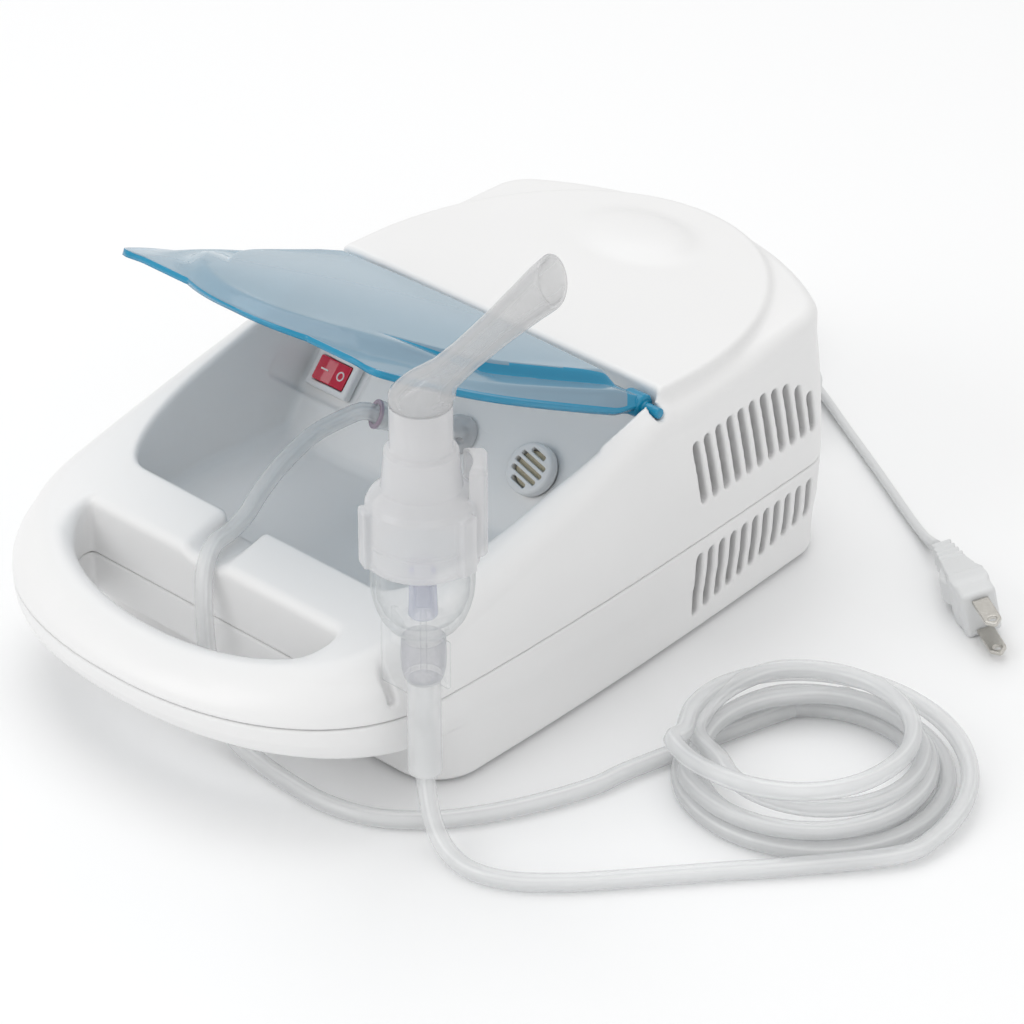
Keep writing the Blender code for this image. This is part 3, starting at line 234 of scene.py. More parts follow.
LOOKS = {
    "housing": plastic("white_plastic", (0.83, 0.83, 0.83), 0.36, coat=0.05),
    "white_matte": plastic("white_trim", (0.80, 0.805, 0.81), 0.42),
    "lid": see_through(
        "blue_lid", (0.27, 0.385, 0.475), (0.22, 0.39, 0.50), 0.72, 0.9, 0.20, tint=(0.62, 0.82, 0.92)
    ),
    "lid_edge": see_through(
        "blue_lid_edge", (0.004, 0.27, 0.46), (0.003, 0.22, 0.40), 0.86, 0.97, 0.13, tint=(0.3, 0.7, 0.9)
    ),
    "rocker": plastic("red_rocker", (0.62, 0.012, 0.05), 0.22, grain=1200.0, depth=0.08, coat=0.5, glow=0.25),
    "mark": plastic("white_print", (0.85, 0.80, 0.80), 0.4),
    "frosted": see_through("frosted_plastic", (0.78, 0.78, 0.79), (0.72, 0.72, 0.74), 0.42, 0.78, 0.20),
    "mouth": see_through("mouthpiece_plastic", (0.63, 0.635, 0.64), (0.42, 0.425, 0.435), 0.34, 0.74, 0.09),
    "dome": see_through("outlet_plastic", (0.78, 0.78, 0.79), (0.66, 0.66, 0.68), 0.62, 0.85, 0.12),
    "ring": see_through("cuff_ring", (0.50, 0.38, 0.47), (0.42, 0.30, 0.40), 0.55, 0.85, 0.15),
    "clear": see_through("clear_plastic", (0.72, 0.74, 0.75), (0.33, 0.37, 0.38), 0.055, 0.72, 0.06),
    "collar": see_through("clear_spigot", (0.60, 0.60, 0.64), (0.45, 0.46, 0.50), 0.20, 0.75, 0.10),
    "jet": see_through("jet_plastic", (0.56, 0.58, 0.68), (0.40, 0.43, 0.60), 0.34, 0.80, 0.12),
    "ink": plastic("blue_jet_dots", (0.05, 0.08, 0.45), 0.3),
    # The clear tube's stripes are painted reflection lines.
    "vinyl": see_through(
        "clear_vinyl", (0.87, 0.88, 0.885), (0.62, 0.63, 0.645), 0.30, 0.72, 0.08, reflection_lines=0.14
    ),
    "cord": plastic("cord_vinyl", (0.70, 0.71, 0.715), 0.38, grain=1500.0, depth=0.08),
    "nickel": metal("nickel", (0.62, 0.60, 0.56), 0.22, (1, 6, 6)),
    "steel": metal("steel", (0.48, 0.49, 0.51), 0.36, (1, 1, 14)),
    "zinc": metal("zinc_screw", (0.58, 0.59, 0.60), 0.30),
    "aluminium": metal("cast_aluminium", (0.70, 0.71, 0.73), 0.48, grain=1600.0, depth=0.35),
    "bronze": metal("bronze", (0.55, 0.36, 0.18), 0.42),
    "laminated": striped("laminated_steel", (0.42, 0.43, 0.45), 0.45, 1.0, 0.0008, "X"),
    "copper": striped("copper_winding", (0.62, 0.26, 0.10), 0.35, 1.0, 0.0009, "Z"),
    "rubber": plastic("black_rubber", (0.022, 0.022, 0.023), 0.75, grain=1800.0, depth=0.25),
    "fan": plastic("black_nylon", (0.03, 0.03, 0.032), 0.5),
    "silicone": plastic("silicone", (0.66, 0.67, 0.65), 0.45, grain=900.0, depth=0.1),
    "felt": felt(),
}


# Pieces


def piece(name, mesh, look, body, slot, *nodes, smooth=True):
    """A shown piece of the object, on its body, standing for its CAD nodes."""
    ob = bpy.data.objects.new(name, mesh)
    bpy.context.scene.collection.objects.link(ob)
    if not mesh.materials:
        mesh.materials.append(LOOKS[look])
    if smooth:
        mesh.shade_smooth()
    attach(ob, body)
    if nodes:
        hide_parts(*nodes)
    return ob


def mesh_of(name, points, faces):
    """A mesh from design-frame millimetres."""
    mesh = bpy.data.meshes.new(name)
    mesh.from_pydata(metres(points).tolist(), [], [tuple(int(i) for i in f) for f in faces])
    mesh.update()
    return mesh


def modified(mesh, **modifiers):
    """The mesh with modifiers applied, given as KIND={setting: value}."""
    ob = bpy.data.objects.new("making", mesh)
    bpy.context.scene.collection.objects.link(ob)
    for kind, settings in modifiers.items():
        modifier = ob.modifiers.new(kind, kind)
        for key, value in settings.items():
            setattr(modifier, key, value)
    bpy.context.view_layer.update()
    made = bpy.data.meshes.new_from_object(ob.evaluated_get(bpy.context.evaluated_depsgraph_get()))
    bpy.data.objects.remove(ob)
    return made


# Fields


def both(a, b, r=0.0):
    """Inside both, with a round of radius r along the edge where they meet."""
    if np.ndim(r) == 0 and not r:
        return np.maximum(a, b)
    return np.minimum(np.maximum(a, b), -r) + np.hypot(np.maximum(a + r, 0), np.maximum(b + r, 0))


def either(a, b, r=0.0):
    return -both(-a, -b, r)


def cut(a, b, r=0.0):
    return both(a, -b, r)


def outline(points, x, y):
    """Distance to a closed outline in a plane, negative inside."""
    nearest, inside = np.inf, False
    for (ax, ay), (bx, by) in zip(points, points[1:] + points[:1]):
        ex, ey = bx - ax, by - ay
        t = np.clip(((x - ax) * ex + (y - ay) * ey) / max(ex * ex + ey * ey, 1e-9), 0, 1)
        nearest = np.minimum(nearest, np.hypot(x - ax - t * ex, y - ay - t * ey))
        if ay != by:
            inside = inside ^ (((ay > y) != (by > y)) & (x < ex * (y - ay) / ey + ax))
    return np.where(inside, -nearest, nearest)


def spun(x, y, angle):
    """The same place in axes turned by an angle."""
    return x * math.cos(angle) + y * math.sin(angle), y * math.cos(angle) - x * math.sin(angle)


def block(x, y, z, half, r=0.0):
    """A box with half sizes, its edges rounded by r."""
    parts = [np.abs(c) - (h - r) for c, h in zip((x, y, z), half)]
    outside = np.sqrt(sum(np.maximum(p, 0) ** 2 for p in parts))
    return outside + np.minimum(np.maximum(np.maximum(parts[0], parts[1]), parts[2]), 0) - r


def rod(x, y, z, radius, low, high, r=0.0):
    """A cylinder along z."""
    return both(np.hypot(x, y) - radius, np.abs(z - (low + high) / 2) - (high - low) / 2, r)


def sampled(values, at):
    """A field's values between its grid points."""
    at = np.clip(at, 0, np.array(values.shape) - 1.001)
    base = at.astype(int)
    t = at - base
    total = 0.0
    for i in (0, 1):
        for j in (0, 1):
            for k in (0, 1):
                weight = (
                    t[:, 0] if i else 1 - t[:, 0]
                ) * (t[:, 1] if j else 1 - t[:, 1]) * (t[:, 2] if k else 1 - t[:, 2])
                total = total + weight * values[base[:, 0] + i, base[:, 1] + j, base[:, 2] + k]
    return total


def uphill(values, at, reach):
    """The field's slope, by differences over reach grid steps."""
    slope = np.empty_like(at)
    for axis in range(3):
        step = np.zeros(3)
        step[axis] = reach
        slope[:, axis] = (sampled(values, at + step) - sampled(values, at - step)) / (2 * reach)
    return slope


def solid(name, field, low, high, step, turn=None, keep=1.0):
    """A closed mesh of where field < 0 between two corners. turn places a field with its own frame."""
    origin = np.array(low, float) - 2 * step
    counts = [int(math.ceil((h - l) / step)) + 5 for l, h in zip(low, high)]
    x, y, z = (origin[i] + step * np.arange(counts[i]) for i in range(3))
    values = field(x[:, None, None], y[None, :, None], z[None, None, :])
    values = np.ascontiguousarray(np.broadcast_to(values, counts), np.float32)
    inside = values < 0
    corners = [(i, j, k) for i in (0, 1) for j in (0, 1) for k in (0, 1)]
    filled = sum(
        inside[
            i:counts[0] - 1 + i, j:counts[1] - 1 + j, k:counts[2] - 1 + k
        ].astype(np.int8) for i, j, k in corners
    )
    cells = np.argwhere((filled > 0) & (filled < 8))
    index = np.full(filled.shape, -1, np.int64)
    index[tuple(cells.T)] = np.arange(len(cells))
    total, crossings = np.zeros((len(cells), 3)), np.zeros((len(cells), 1))
    for a in corners:
        for axis in range(3):
            if a[axis]:
                continue
            b = tuple(c + (n == axis) for n, c in enumerate(a))
            va, vb = values[tuple((cells + a).T)], values[tuple((cells + b).T)]
            crossed = ((va < 0) != (vb < 0))[:, None]
            t = (va / np.where(va == vb, 1, va - vb))[:, None]
            total += crossed * (np.array(a) + t * (np.array(b) - np.array(a)))
            crossings += crossed
    at = cells + total / np.maximum(crossings, 1)
    quads = []
    for axis in range(3):
        u, v = [(1, 2), (2, 0), (0, 1)][axis]
        here = [slice(1, -1)] * 3
        here[axis] = slice(0, -1)
        there = list(here)
        there[axis] = slice(1, None)
        first, second = inside[tuple(here)], inside[tuple(there)]
        for rising, order in ((False, (3, 2, 1, 0)), (True, (0, 1, 2, 3))):
            changed = np.argwhere((first == rising) & (second == (not rising)))
            grid = changed + np.array([0 if n == axis else 1 for n in range(3)])
            around = []
            for du, dv in ((1, 1), (0, 1), (0, 0), (1, 0)):
                cell = grid.copy()
                cell[:, u] -= du
                cell[:, v] -= dv
                around.append(index[tuple(cell.T)])
            quads.append(np.stack([around[n] for n in order], 1))
    quads = np.concatenate(quads)
    for _ in range(2):
        slope = uphill(values, at, 0.5)
        move = sampled(values, at)[:, None] * slope / np.maximum((slope**2).sum(1, keepdims=True), 1e-6)
        at = at - np.clip(move, -0.4, 0.4)
    mesh = bpy.data.meshes.new(name)
    mesh.vertices.add(len(at))
    mesh.vertices.foreach_set("co", (origin + at * step).astype(np.float32).ravel())
    mesh.loops.add(quads.size)
    mesh.loops.foreach_set("vertex_index", quads.astype(np.int32).ravel())
    mesh.polygons.add(len(quads))
    mesh.polygons.foreach_set("loop_start", np.arange(0, quads.size, 4, dtype=np.int32))
    mesh.update(calc_edges=True)
    if keep < 1:
        mesh = modified(mesh, DECIMATE={"ratio": keep})
    count = len(mesh.vertices)
    points = np.empty(count * 3, np.float32)
    mesh.vertices.foreach_get("co", points)
    points = points.reshape(-1, 3)
    normals = uphill(values, (points - origin) / step, 0.6)
    normals /= np.maximum(np.linalg.norm(normals, axis=1, keepdims=True), 1e-9)
    plain = np.empty(count * 3, np.float32)
    mesh.vertex_normals.foreach_get("vector", plain)
    plain = plain.reshape(-1, 3)
    astray = (normals * plain).sum(1) < 0.5
    normals[astray] = plain[astray]
    if turn is not None:
        spin = np.array(turn.to_3x3())
        points = points @ spin.T + np.array(turn.translation)
        normals = normals @ spin.T
    mesh.vertices.foreach_set("co", metres(points).astype(np.float32).ravel())
    mesh.shade_smooth()
    mesh.normals_split_custom_set_from_vertices(normals.astype(float).tolist())
    mesh.update()
    return mesh


def moulded(name, field, low, high, step, look, body, slot, *nodes, turn=None, keep=1.0):
    """A piece made from a field by solid()."""
    return piece(
        name, solid(name, field, low, high, step, turn, keep), look, body, slot, *nodes, smooth=False
    )


# Cords


def smooth_path(points, spacing):
    """Points a spacing apart along a Catmull-Rom curve through the given ones."""
    p = [np.array(q, float) for q in points]
    p = [2 * p[0] - p[1]] + p + [2 * p[-1] - p[-2]]
    dense = []
    for a, b, c, d in zip(p, p[1:], p[2:], p[3:]):
        for t in np.linspace(0, 1, 24, endpoint=False):
            dense.append(
                0.5 * (
                    2 * b + (c - a) * t + (2 * a - 5 * b + 4 * c - d) * t**2 + (3 * b - a - 3 * c + d) * t**3
                )
            )
    dense = np.array(dense + [p[-2]])
    along = np.concatenate([[0], np.cumsum(np.linalg.norm(np.diff(dense, axis=0), axis=1))])
    at = np.linspace(0, along[-1], int(along[-1] / spacing) + 1)
    return np.stack([np.interp(at, along, dense[:, k]) for k in range(3)], 1), along[-1]


def sweep(name, path, sections, twist=None):
    """A closed tube along path. A second section is its bore. twist is in radians at each point."""
    way = np.gradient(path, axis=0)
    way /= np.linalg.norm(way, axis=1, keepdims=True)
    side = np.cross(way[0], (0, 0, 1))
    side /= np.linalg.norm(side)
    points, faces, n = [], [], len(sections[0])
    for section in sections:
        s = side.copy()
        for i, (p, w) in enumerate(zip(path, way)):
            s = s - w * np.dot(s, w)
            s /= np.linalg.norm(s)
            up = np.cross(s, w)
            a = 0.0 if twist is None else twist[i]
            across, rise = s * math.cos(a) + up * math.sin(a), up * math.cos(a) - s * math.sin(a)
            points += [p + across * u + rise * v for u, v in section]
    rows = len(path)
    for k in range(len(sections)):
        for i in range(rows - 1):
            for j in range(n):
                a, b = (k * rows + i) * n + j, (k * rows + i) * n + (j + 1) % n
                face = (a, b, b + n, a + n)
                faces.append(face if k == 0 else face[::-1])
    for i, flip in ((0, False), (rows - 1, True)):
        first = [i * n + j for j in range(n)]
        if len(sections) == 1:
            faces.append(tuple(first if flip else first[::-1]))
            continue
        for j in range(n):
            a, b = first[j], first[(j + 1) % n]
            face = (a, a + rows * n, b + rows * n, b)
            faces.append(face[::-1] if flip else face)
    return mesh_of(name, points, faces)


def circle(radius, sides=20):
    return [
        (radius * math.cos(a), radius * math.sin(a)) for a in (2 * math.pi * i / sides for i in range(sides))
    ]


def outlet_axis():
    """Where the tube's cuff points, and the point of the outlet dome that it starts from."""
    way = Vector((-0.45, -0.80, 0.40)).normalized()
    return Vector(panel_point(OUTLET_X, 0, 1.5)), way


def panel_point(x, down, out):
    c, s = math.cos(PANEL_TILT), math.sin(PANEL_TILT)
    return (x, PANEL_Y - down * s - out * c, PANEL_Z - down * c + out * s)


# The coil of the air tube: turns done, radius and height. The loose turn on top slumps over the front
COIL_TURNS = (
    (0.15, 0.85, 1.1, 1.85, 2.1, 2.85, 3.1, 3.85, 4.1, 4.5, 4.75, 5.0, 5.3, 5.5, 5.7),
    (46.0, 45.0, 38.5, 38.0, 41.6, 41.6, 34.8, 34.8, 38.0, 38.5, 41.5, 46.5, 52.0, 54.5, 56.6),
    (3.3, 3.3, 3.3, 3.3, 9.2, 9.6, 11.4, 12.6, 18.4, 20.4, 21.0, 18.0, 9.0, 4.4, 3.3),
)


def air_tube_route():
    start, way = outlet_axis()
    route = [tuple(start + way * d) for d in (21.8, 32, 38)]
    route += [(-17.5, 1, 78.5), (-18.5, -12, 77), (-16.5, -28, 73.5), (-13, -42, 69.5), (-8.5, -54, 66.3)]
    route += [
        (-6, -64, 65), (-4.5, -72, 64.8), (-1, -79.5, 60.8), (3, -84.5, 52), (6, -87, 40), (9.5, -88.5, 27)
    ]
    route += [
        (15, -89.8, 15.5), (24, -91, 7), (36, -91.5, 3.9), (51, -92.5, 3.3), (69, -92.5, 3.3),
        (86, -87.5, 3.3),
    ]
    route += [(99, -77.5, 3.3), (109, -65, 3.3), (119, -46, 3.3), (127, -23, 3.3), (130.2, -2, 3.3)]
    turns, per_turn = 5.66, 20
    for i in range(3, int(turns * per_turn) - 1):
        done = i / per_turn
        angle = math.pi - 2 * math.pi * done
        radius, height = (float(np.interp(done, COIL_TURNS[0], row)) for row in COIL_TURNS[1:])
        aside = 0.25 * height
        x = COIL_AT[0] + radius * math.cos(angle) + aside * math.cos(2.4 * math.floor(done + 0.1))
        y = COIL_AT[1] + radius * math.sin(angle) + aside * math.sin(2.4 * math.floor(done + 0.1))
        route.append((x, y, height))
    route += [
        (203.5, -14.5, 3.3), (193, -27, 3.3), (181, -42, 3.3), (169, -57, 3.3), (157, -71, 3.3),
        (144, -82, 3.3),
    ]
    route += [(131, -86.5, 3.4), (120, -85.5, 4.6), (111.5, -83, 9), (106.5, -81, 16.5), (104.2, -80.1, 26)]
    return route + [(104, -80, 36), (104, -80, 44.6)]


def make_air_tube():
    path, length = smooth_path(air_tube_route(), 2.4)
    mesh = sweep("air_tube", path, [circle(TUBE_R, 24), circle(TUBE_BORE_R, 24)])
    # Four stripes along the tube are marked for its material, which paints them as reflection lines, not
    # grooves or ribs in the tube.
    around = np.arange(len(mesh.vertices)) % 24
    painted_reflection_line = mesh.attributes.new("painted_reflection_line", "FLOAT", "POINT")
    painted_reflection_line.data.foreach_set("value", np.isin(around, (2, 9, 14, 20)).astype(np.float32))
    tube = piece(
        "air_tube", mesh, "vinyl", "housing", "clear_vinyl",
        "air_tube_outlet_run", "air_tube_coil", "air_tube_kit_run",
    )
    places = metres(path)
    return tube, places, length * MM


def lead_route():
    route = [(20.1, 206.8, 16), (20.6, 212, 16), (18, 219.5, 16.1), (12, 226, 16.3), (3, 229.6, 16.5)]
    route += [(-7, 229.5, 16.8), (-15.5, 225.5, 17.0), (-21.5, 218, 17.1)]
    swept, per_turn = 6.76, 20
    pitch = LEAD_THICK + 0.25
    high, low = LEAD_WIDE * 1.5 + 0.5, LEAD_WIDE / 2 + 0.1
    for i in range(int(swept * per_turn) + 1):
        done = i / per_turn
        angle = math.radians(-35.5) - 2 * math.pi * done
        if done < 0.33:
            t = done / 0.33
            radius, height = 31 + 10.2 * t * t * (3 - 2 * t), 17.1 - (17.1 - high) * max(
                0, (t - 0.45) / 0.55
            ) ** 2
        elif done < 3.33:
            radius, height = 41.2 - pitch * (done - 0.33), high
        elif done < 3.58:
            t = (done - 3.33) / 0.25
            radius, height = 41.2 - 3 * pitch, high + (low - high) * t * t * (3 - 2 * t)
        else:
            radius, height = 41.2 - 3 * pitch + (done - 3.58) * pitch, low
        route.append(
            (LEAD_COIL_AT[0] + radius * math.cos(angle), LEAD_COIL_AT[1] + radius * math.sin(angle), height)
        )
    floor = LEAD_THICK / 2 + 0.1
    route += [(-8, 243.8, low), (10, 234.5, 2.9), (33, 222, floor), (61, 206, floor), (93, 187, floor + 0.3)]
    return route + [(106, 179, 3.6), (113.5, 173.6, 6.6), (119.4, 169.6, 9.3)]


def make_mains_lead():
    """A flat twin lead: two round cores side by side with a groove between them."""
    path, length = smooth_path(lead_route(), 2.4)
    along = np.linspace(0, length, len(path))
    flat = np.clip((along - length + 170) / 40, 0, 1)
    twist = math.pi / 2 * (1 - flat * flat * (3 - 2 * flat))
    core, offset = LEAD_THICK / 2, (LEAD_WIDE - LEAD_THICK) / 2
    section = [(offset + core * math.cos(a), core * math.sin(a)) for a in np.linspace(-2.2, 2.2, 13)]
    section += [(-u, -v) for u, v in section]
    mesh = sweep("mains_lead", path, [section], twist)
    lead = piece(
        "mains_lead", mesh, "cord", "housing", "cord_white",
        "mains_cord_housing_run", "mains_cord_coil", "mains_cord_plug_run",
    )
    return lead, metres(path), length * MM


# Housing


def mirrored(half):
    """A closed outline from its right half, which starts and ends on x = 0."""
    return half + [(-x, y) for x, y in reversed(half[1:-1])]


def plan_half(inset, front):
    """The housing from above, right half: a rounded nose, flaring sides and a bowed rear."""
    points, reach = [], FRONT_START_Y - front - inset
    for i in range(40):
        a = math.pi / 2 * i / 40
        x = (WIDE_HALF - inset) * math.sin(a) ** (2 / FRONT_POWER)
        points.append((x, FRONT_START_Y - reach * math.cos(a) ** (2 / FRONT_POWER)))
    for i in range(21):
        t = i / 20
        y = FRONT_START_Y + (REAR_Y - CORNER_R - FRONT_START_Y) * t
        points.append((side_half(y) - inset, y))
    rear_r = (REAR_HALF**2 + REAR_BULGE**2) / (2 * REAR_BULGE)
    centre_y = REAR_Y + REAR_BULGE - rear_r
    corner = (REAR_HALF - inset, centre_y + math.sqrt((rear_r - inset) ** 2 - (REAR_HALF - inset) ** 2))
    start = math.asin((corner[0] - CORNER_R) / (rear_r - inset))
    rear = []
    for i in range(21):
        a = start * (1 - i / 20)
        rear.append(((rear_r - inset) * math.sin(a), centre_y + (rear_r - inset) * math.cos(a)))
    begin, end = points[-1], rear[0]
    for i in range(1, 9):
        t = i / 9
        points.append(
            tuple((1 - t) ** 2 * begin[k] + 2 * t * (1 - t) * corner[k] + t * t * end[k] for k in (0, 1))
        )
    return points + rear


def side_half(y):
    t = min(max((REAR_Y - y) / (REAR_Y - FRONT_START_Y), 0), 1)
    return REAR_HALF + (WIDE_HALF - REAR_HALF) * math.sin(t * math.pi / 2)


def skirt_half():
    front, corner = SKIRT_FRONT_Y, 18.0
    half = side_half(front) - SKIRT_INSET
    points = [(0, front - 1)]
    for i in range(13):
        a = math.pi / 2 * i / 12
        points.append((half - corner + corner * math.sin(a), front + corner - corner * math.cos(a)))
    return points + [(x, y) for x, y in plan_half(SKIRT_INSET, FRONT_Y) if y > front + corner + 8]


def opening_half():
    points, back = [], OPEN_BACK_Y - 6
    for i in range(33):
        a = math.pi / 2 * i / 32
        points.append((OPEN_HALF * math.sin(a), back - (back - OPEN_FRONT_Y) * math.cos(a)))
    for i in range(1, 9):
        a = math.pi / 2 * i / 8
        points.append((OPEN_HALF - 6 + 6 * math.cos(a), back + 6 * math.sin(a)))
    return points + [(0, OPEN_BACK_Y)]


def tray_half():
    points, back = [(0, TRAY_FRONT_Y), (30, TRAY_FRONT_Y)], 200
    for i in range(17):
        a = math.pi / 2 * i / 16
        points.append((TRAY_HALF - 22 * (1 - math.sin(a)), TRAY_FRONT_Y + 50 * (1 - math.cos(a)) ** 1.15))
    return points + [(TRAY_HALF - 1, 60), (TRAY_HALF - 1, back), (0, back)]


def deck_outline():
    arc = [(78 * math.cos(a), DECK_FRONT_Y + 14 + 98 * math.sin(a)) for a in np.linspace(0, math.pi, 49)]
    return [(78, DECK_FRONT_Y - 30)] + arc + [(-78, DECK_FRONT_Y - 30)]


def carve(values, x, y, z, low, high, field, r=0.0, join=False):
    """Cuts a field out of values, or joins it on, inside one box of the grid."""
    part = tuple(
        slice(*np.searchsorted(axis.ravel(), (low[i], high[i]))) for i, axis in enumerate((x, y, z))
    )
    if any(s.start >= s.stop for s in part):
        return
    other = field(x[part[0]], y[:, part[1]], z[:, :, part[2]])
    values[part] = either(values[part], other, r) if join else cut(values[part], other, r)


def vent_ribs(x, y, z):
    """How much thicker the side walls are behind the vents, so that the slots are deep."""
    across = np.clip((np.abs(x) - 58) / 4, 0, 1)
    return 3.4 * across * np.clip(
        (39 - np.abs(y - 108.5)) / 3, 0, 1
    ) * np.clip((41 - np.abs(z - 45)) / 3, 0, 1)


def carve_vents(values, x, y, z):
    """Two rows of slots in each side wall, the upper ones leaning."""
    for side in (-1, 1):
        for i in range(VENT_COUNT):
            t = i / (VENT_COUNT - 1)
            middle_y = 75.5 + 66 * t
            top = float(np.interp(t, (0, 0.3, 0.6, 0.8, 0.9, 1), (79.7, 81.2, 81.6, 79.5, 76, 70.7)))
            for low, high, lean in ((54, top, 0.17), (8.2 + 10.3 * t, 34.2, 0.0)):
                middle_z, angle = (low + high) / 2, math.atan(lean)
                wall_x = side * side_half(middle_y)

                def slot(x, y, z):
                    across, along = spun(y - middle_y, z - middle_z, angle)
                    return block(x - wall_x, across, along, (8, 1.8, (high - low) / 2), 1.7)

                box = (wall_x - 9, middle_y - 8, low - 4), (wall_x + 9, middle_y + 8, high + 6)
                carve(values, x, y, z, *box, slot, 0.9)


def panel_matrix(x):
    """The control panel's frame at x: X across, Y up its slope, Z out of it."""
    return Matrix.Translation(panel_point(x, 0, 0)) @ Matrix.Rotation(math.pi / 2 - PANEL_TILT, 4, "X")


def on_panel(at_x, shape):
    """A field given in the panel's frame, as a field in the design frame."""
    base, s, c = panel_point(at_x, 0, 0), math.sin(PANEL_TILT), math.cos(PANEL_TILT)

    def field(x, y, z):
        v, w = y - base[1], z - base[2]
        return shape(x - base[0], v * s + w * c, -v * c + w * s)

    return field


def upper_field(x, y, z):
    plan = outline(mirrored(plan_half(0, FRONT_Y)), x, y)
    fall = np.maximum(DECK_FRONT_Y - y, 0)
    aside = np.clip((np.abs(x) - 60) / 20, 0, 1)
    aside = aside * np.clip((150 - y) / 45, 0, 1) * np.clip((y - 55) / 12, 0, 1)
    top = DECK_Z - RIM_SLOPE * fall - 4.0 * aside
    t = np.clip((z - SEAM_Z) / np.maximum(top - SHOULDER_R - SEAM_Z, 14), 0, 1)
    lean = np.where(y < DECK_FRONT_Y, math.cos(math.atan(RIM_SLOPE)), 1.0)
    radius = np.minimum(np.interp(y, (45, 90), (SHOULDER_R, 5)), np.maximum(top - SEAM_Z - 0.5, 2.0))
    body = both(plan + TOP_TAPER * t**2, (z - top) * lean, radius)
    deck = both(outline(deck_outline(), x, y), np.abs(z - DECK_Z + 4) - 6, 1.6)
    body = either(body, deck, 2.5)
    dome = ((x - DOME_AT[0]) / DOME_HALF[0]) ** 2 + ((y - DOME_AT[1]) / DOME_HALF[1]) ** 2
    dome = np.sqrt(dome + ((z - DECK_Z - 1) / DOME_RISE) ** 2) - 1
    body = either(body, dome * 4.4, 1.2)
    widen = np.interp(z, (43, 47, 90, 125), (-10, -6.5, 0, 1))
    panel = (y - PANEL_Y) * math.cos(PANEL_TILT) - (z - PANEL_Z) * math.sin(PANEL_TILT)
    back_y = PANEL_Y + (PANEL_TOP_Z - PANEL_Z) * math.tan(PANEL_TILT)
    tray = both(outline(mirrored(tray_half()), x, y) - widen, TRAY_FLOOR_Z - z, 5.0)
    tray = both(tray, both(panel, y - back_y, 1.0), 3.0)
    body = cut(body, tray, 2.3)
    opening = outline(mirrored(opening_half()), x, y) + OPEN_INSET + 0 * z
    body = cut(body, opening, np.interp(y, (-92, -80), (8.0, 3.2)))
    carve(
        body, x, y, z, (-26, -82, 50), (17, -48, 90),
        lambda x, y, z: both(np.abs(x - NOTCH_X) - NOTCH_HALF, NOTCH_Z - z, 4.0), 4.0,
    )
    recess = on_panel(SWITCH_X, lambda u, v, w: block(u, v, w - 8.6, (14.2, 11.2, 10), 1.6))
    carve(
        body, x, y, z, (SWITCH_X - 17, PANEL_Y - 25, PANEL_Z - 22),
        (SWITCH_X + 17, PANEL_Y + 16, PANEL_Z + 14), recess, 0.8,
    )
    under_tray = (outline(mirrored(tray_half()), x, y) < 0) * (z < TRAY_FLOOR_Z + 0.5)
    by_slot = np.clip((9 - np.abs(y - KIT_Y)) / 4, 0, 1) * (x > 60)
    wall = WALL + 2.0 * under_tray + vent_ribs(x, y, z) + 3.5 * by_slot
    body = cut(body, body + wall)
    body = both(body, SEAM_Z + SEAM_GAP - z, 0.35)
    carve_vents(body, x, y, z)
    carve(
        body, x, y, z, (74, -84, 42), (98, -76, 72),
        lambda x, y, z: block(x - 91 + 0.27 * (z - 56), y - KIT_Y, z - 56, (7.2, 1.5, 10.5), 1.4), 0.9,
    )
    carve(
        body, x, y, z, (-88, HINGE_Y - 5, HINGE_Z - 5), (88, HINGE_Y + 5, HINGE_Z + 5),
        lambda x, y, z: rod(y - HINGE_Y, z - HINGE_Z, x, 2.6, -84.5, 84.5), 0.4,
    )
    holes = (
        (SWITCH_X, lambda u, v, w: block(u, v, w, (8.6, 5.9, 7), 0.5)),
        (OUTLET_X, lambda u, v, w: rod(u, v, w, 4.0, -8, 8)),
        (FILTER_X, lambda u, v, w: rod(u, v, w, 8.6, -8, 8)),
    )
    for at_x, shape in holes:
        near = (at_x - 10, PANEL_Y - 16, PANEL_Z - 14), (at_x + 10, PANEL_Y + 16, PANEL_Z + 14)
        carve(body, x, y, z, *near, on_panel(at_x, shape), 0.3)
    return body


def lower_field(x, y, z):
    step = np.maximum(16 - 0.1 * y, 8)
    t = np.clip((z - step) / (SEAM_Z - step), 0, 1)
    inset = np.interp(t, (0, 0.12, 0.5, 1), (4.5, 2.6, 0.8, 0))
    band = both(outline(mirrored(plan_half(0, FRONT_Y)), x, y) + inset, step - z, 2.2)
    skirt = both(outline(mirrored(skirt_half()), x, y), BASE_Z - z, 1.8)
    body = either(skirt, band, 0.6)
    body = cut(body, outline(mirrored(opening_half()), x, y) + OPEN_INSET + 0 * z, 2.5)
    body = cut(body, body + WALL + vent_ribs(x, y, z))
    body = both(body, z - SEAM_Z, 0.35)
    carve_vents(body, x, y, z)
    for at_x, at_y in SCREW_PLACES.values():
        near = (at_x - 8, at_y - 8, 0), (at_x + 8, at_y + 8, SEAM_Z)
        carve(
            body, x, y, z, *near, lambda x, y, z: rod(x - at_x, y - at_y, z, 5.2, BASE_Z, SEAM_Z - 0.5), 0.8,
            join=True,
        )
        carve(body, x, y, z, *near, lambda x, y, z: rod(x - at_x, y - at_y, z, 3.6, -26, 26), 0.4)
        carve(body, x, y, z, *near, lambda x, y, z: rod(x - at_x, y - at_y, z, 1.9, 0, 60))
    for at_x, at_y in FOOT_PLACES:
        near = (at_x - 9, at_y - 9, 0), (at_x + 9, at_y + 9, 8)
        carve(body, x, y, z, *near, lambda x, y, z: rod(x - at_x, y - at_y, z, 6.4, -3, 3), 0.3)
    inlet = (LEAD_X - 8, REAR_Y, LEAD_Z - 8), (LEAD_X + 8, REAR_Y + 34, LEAD_Z + 8)
    carve(body, x, y, z, *inlet, lambda x, y, z: rod(x - LEAD_X, z - LEAD_Z, y, 4.7, 150, 200), 0.4)
    return body


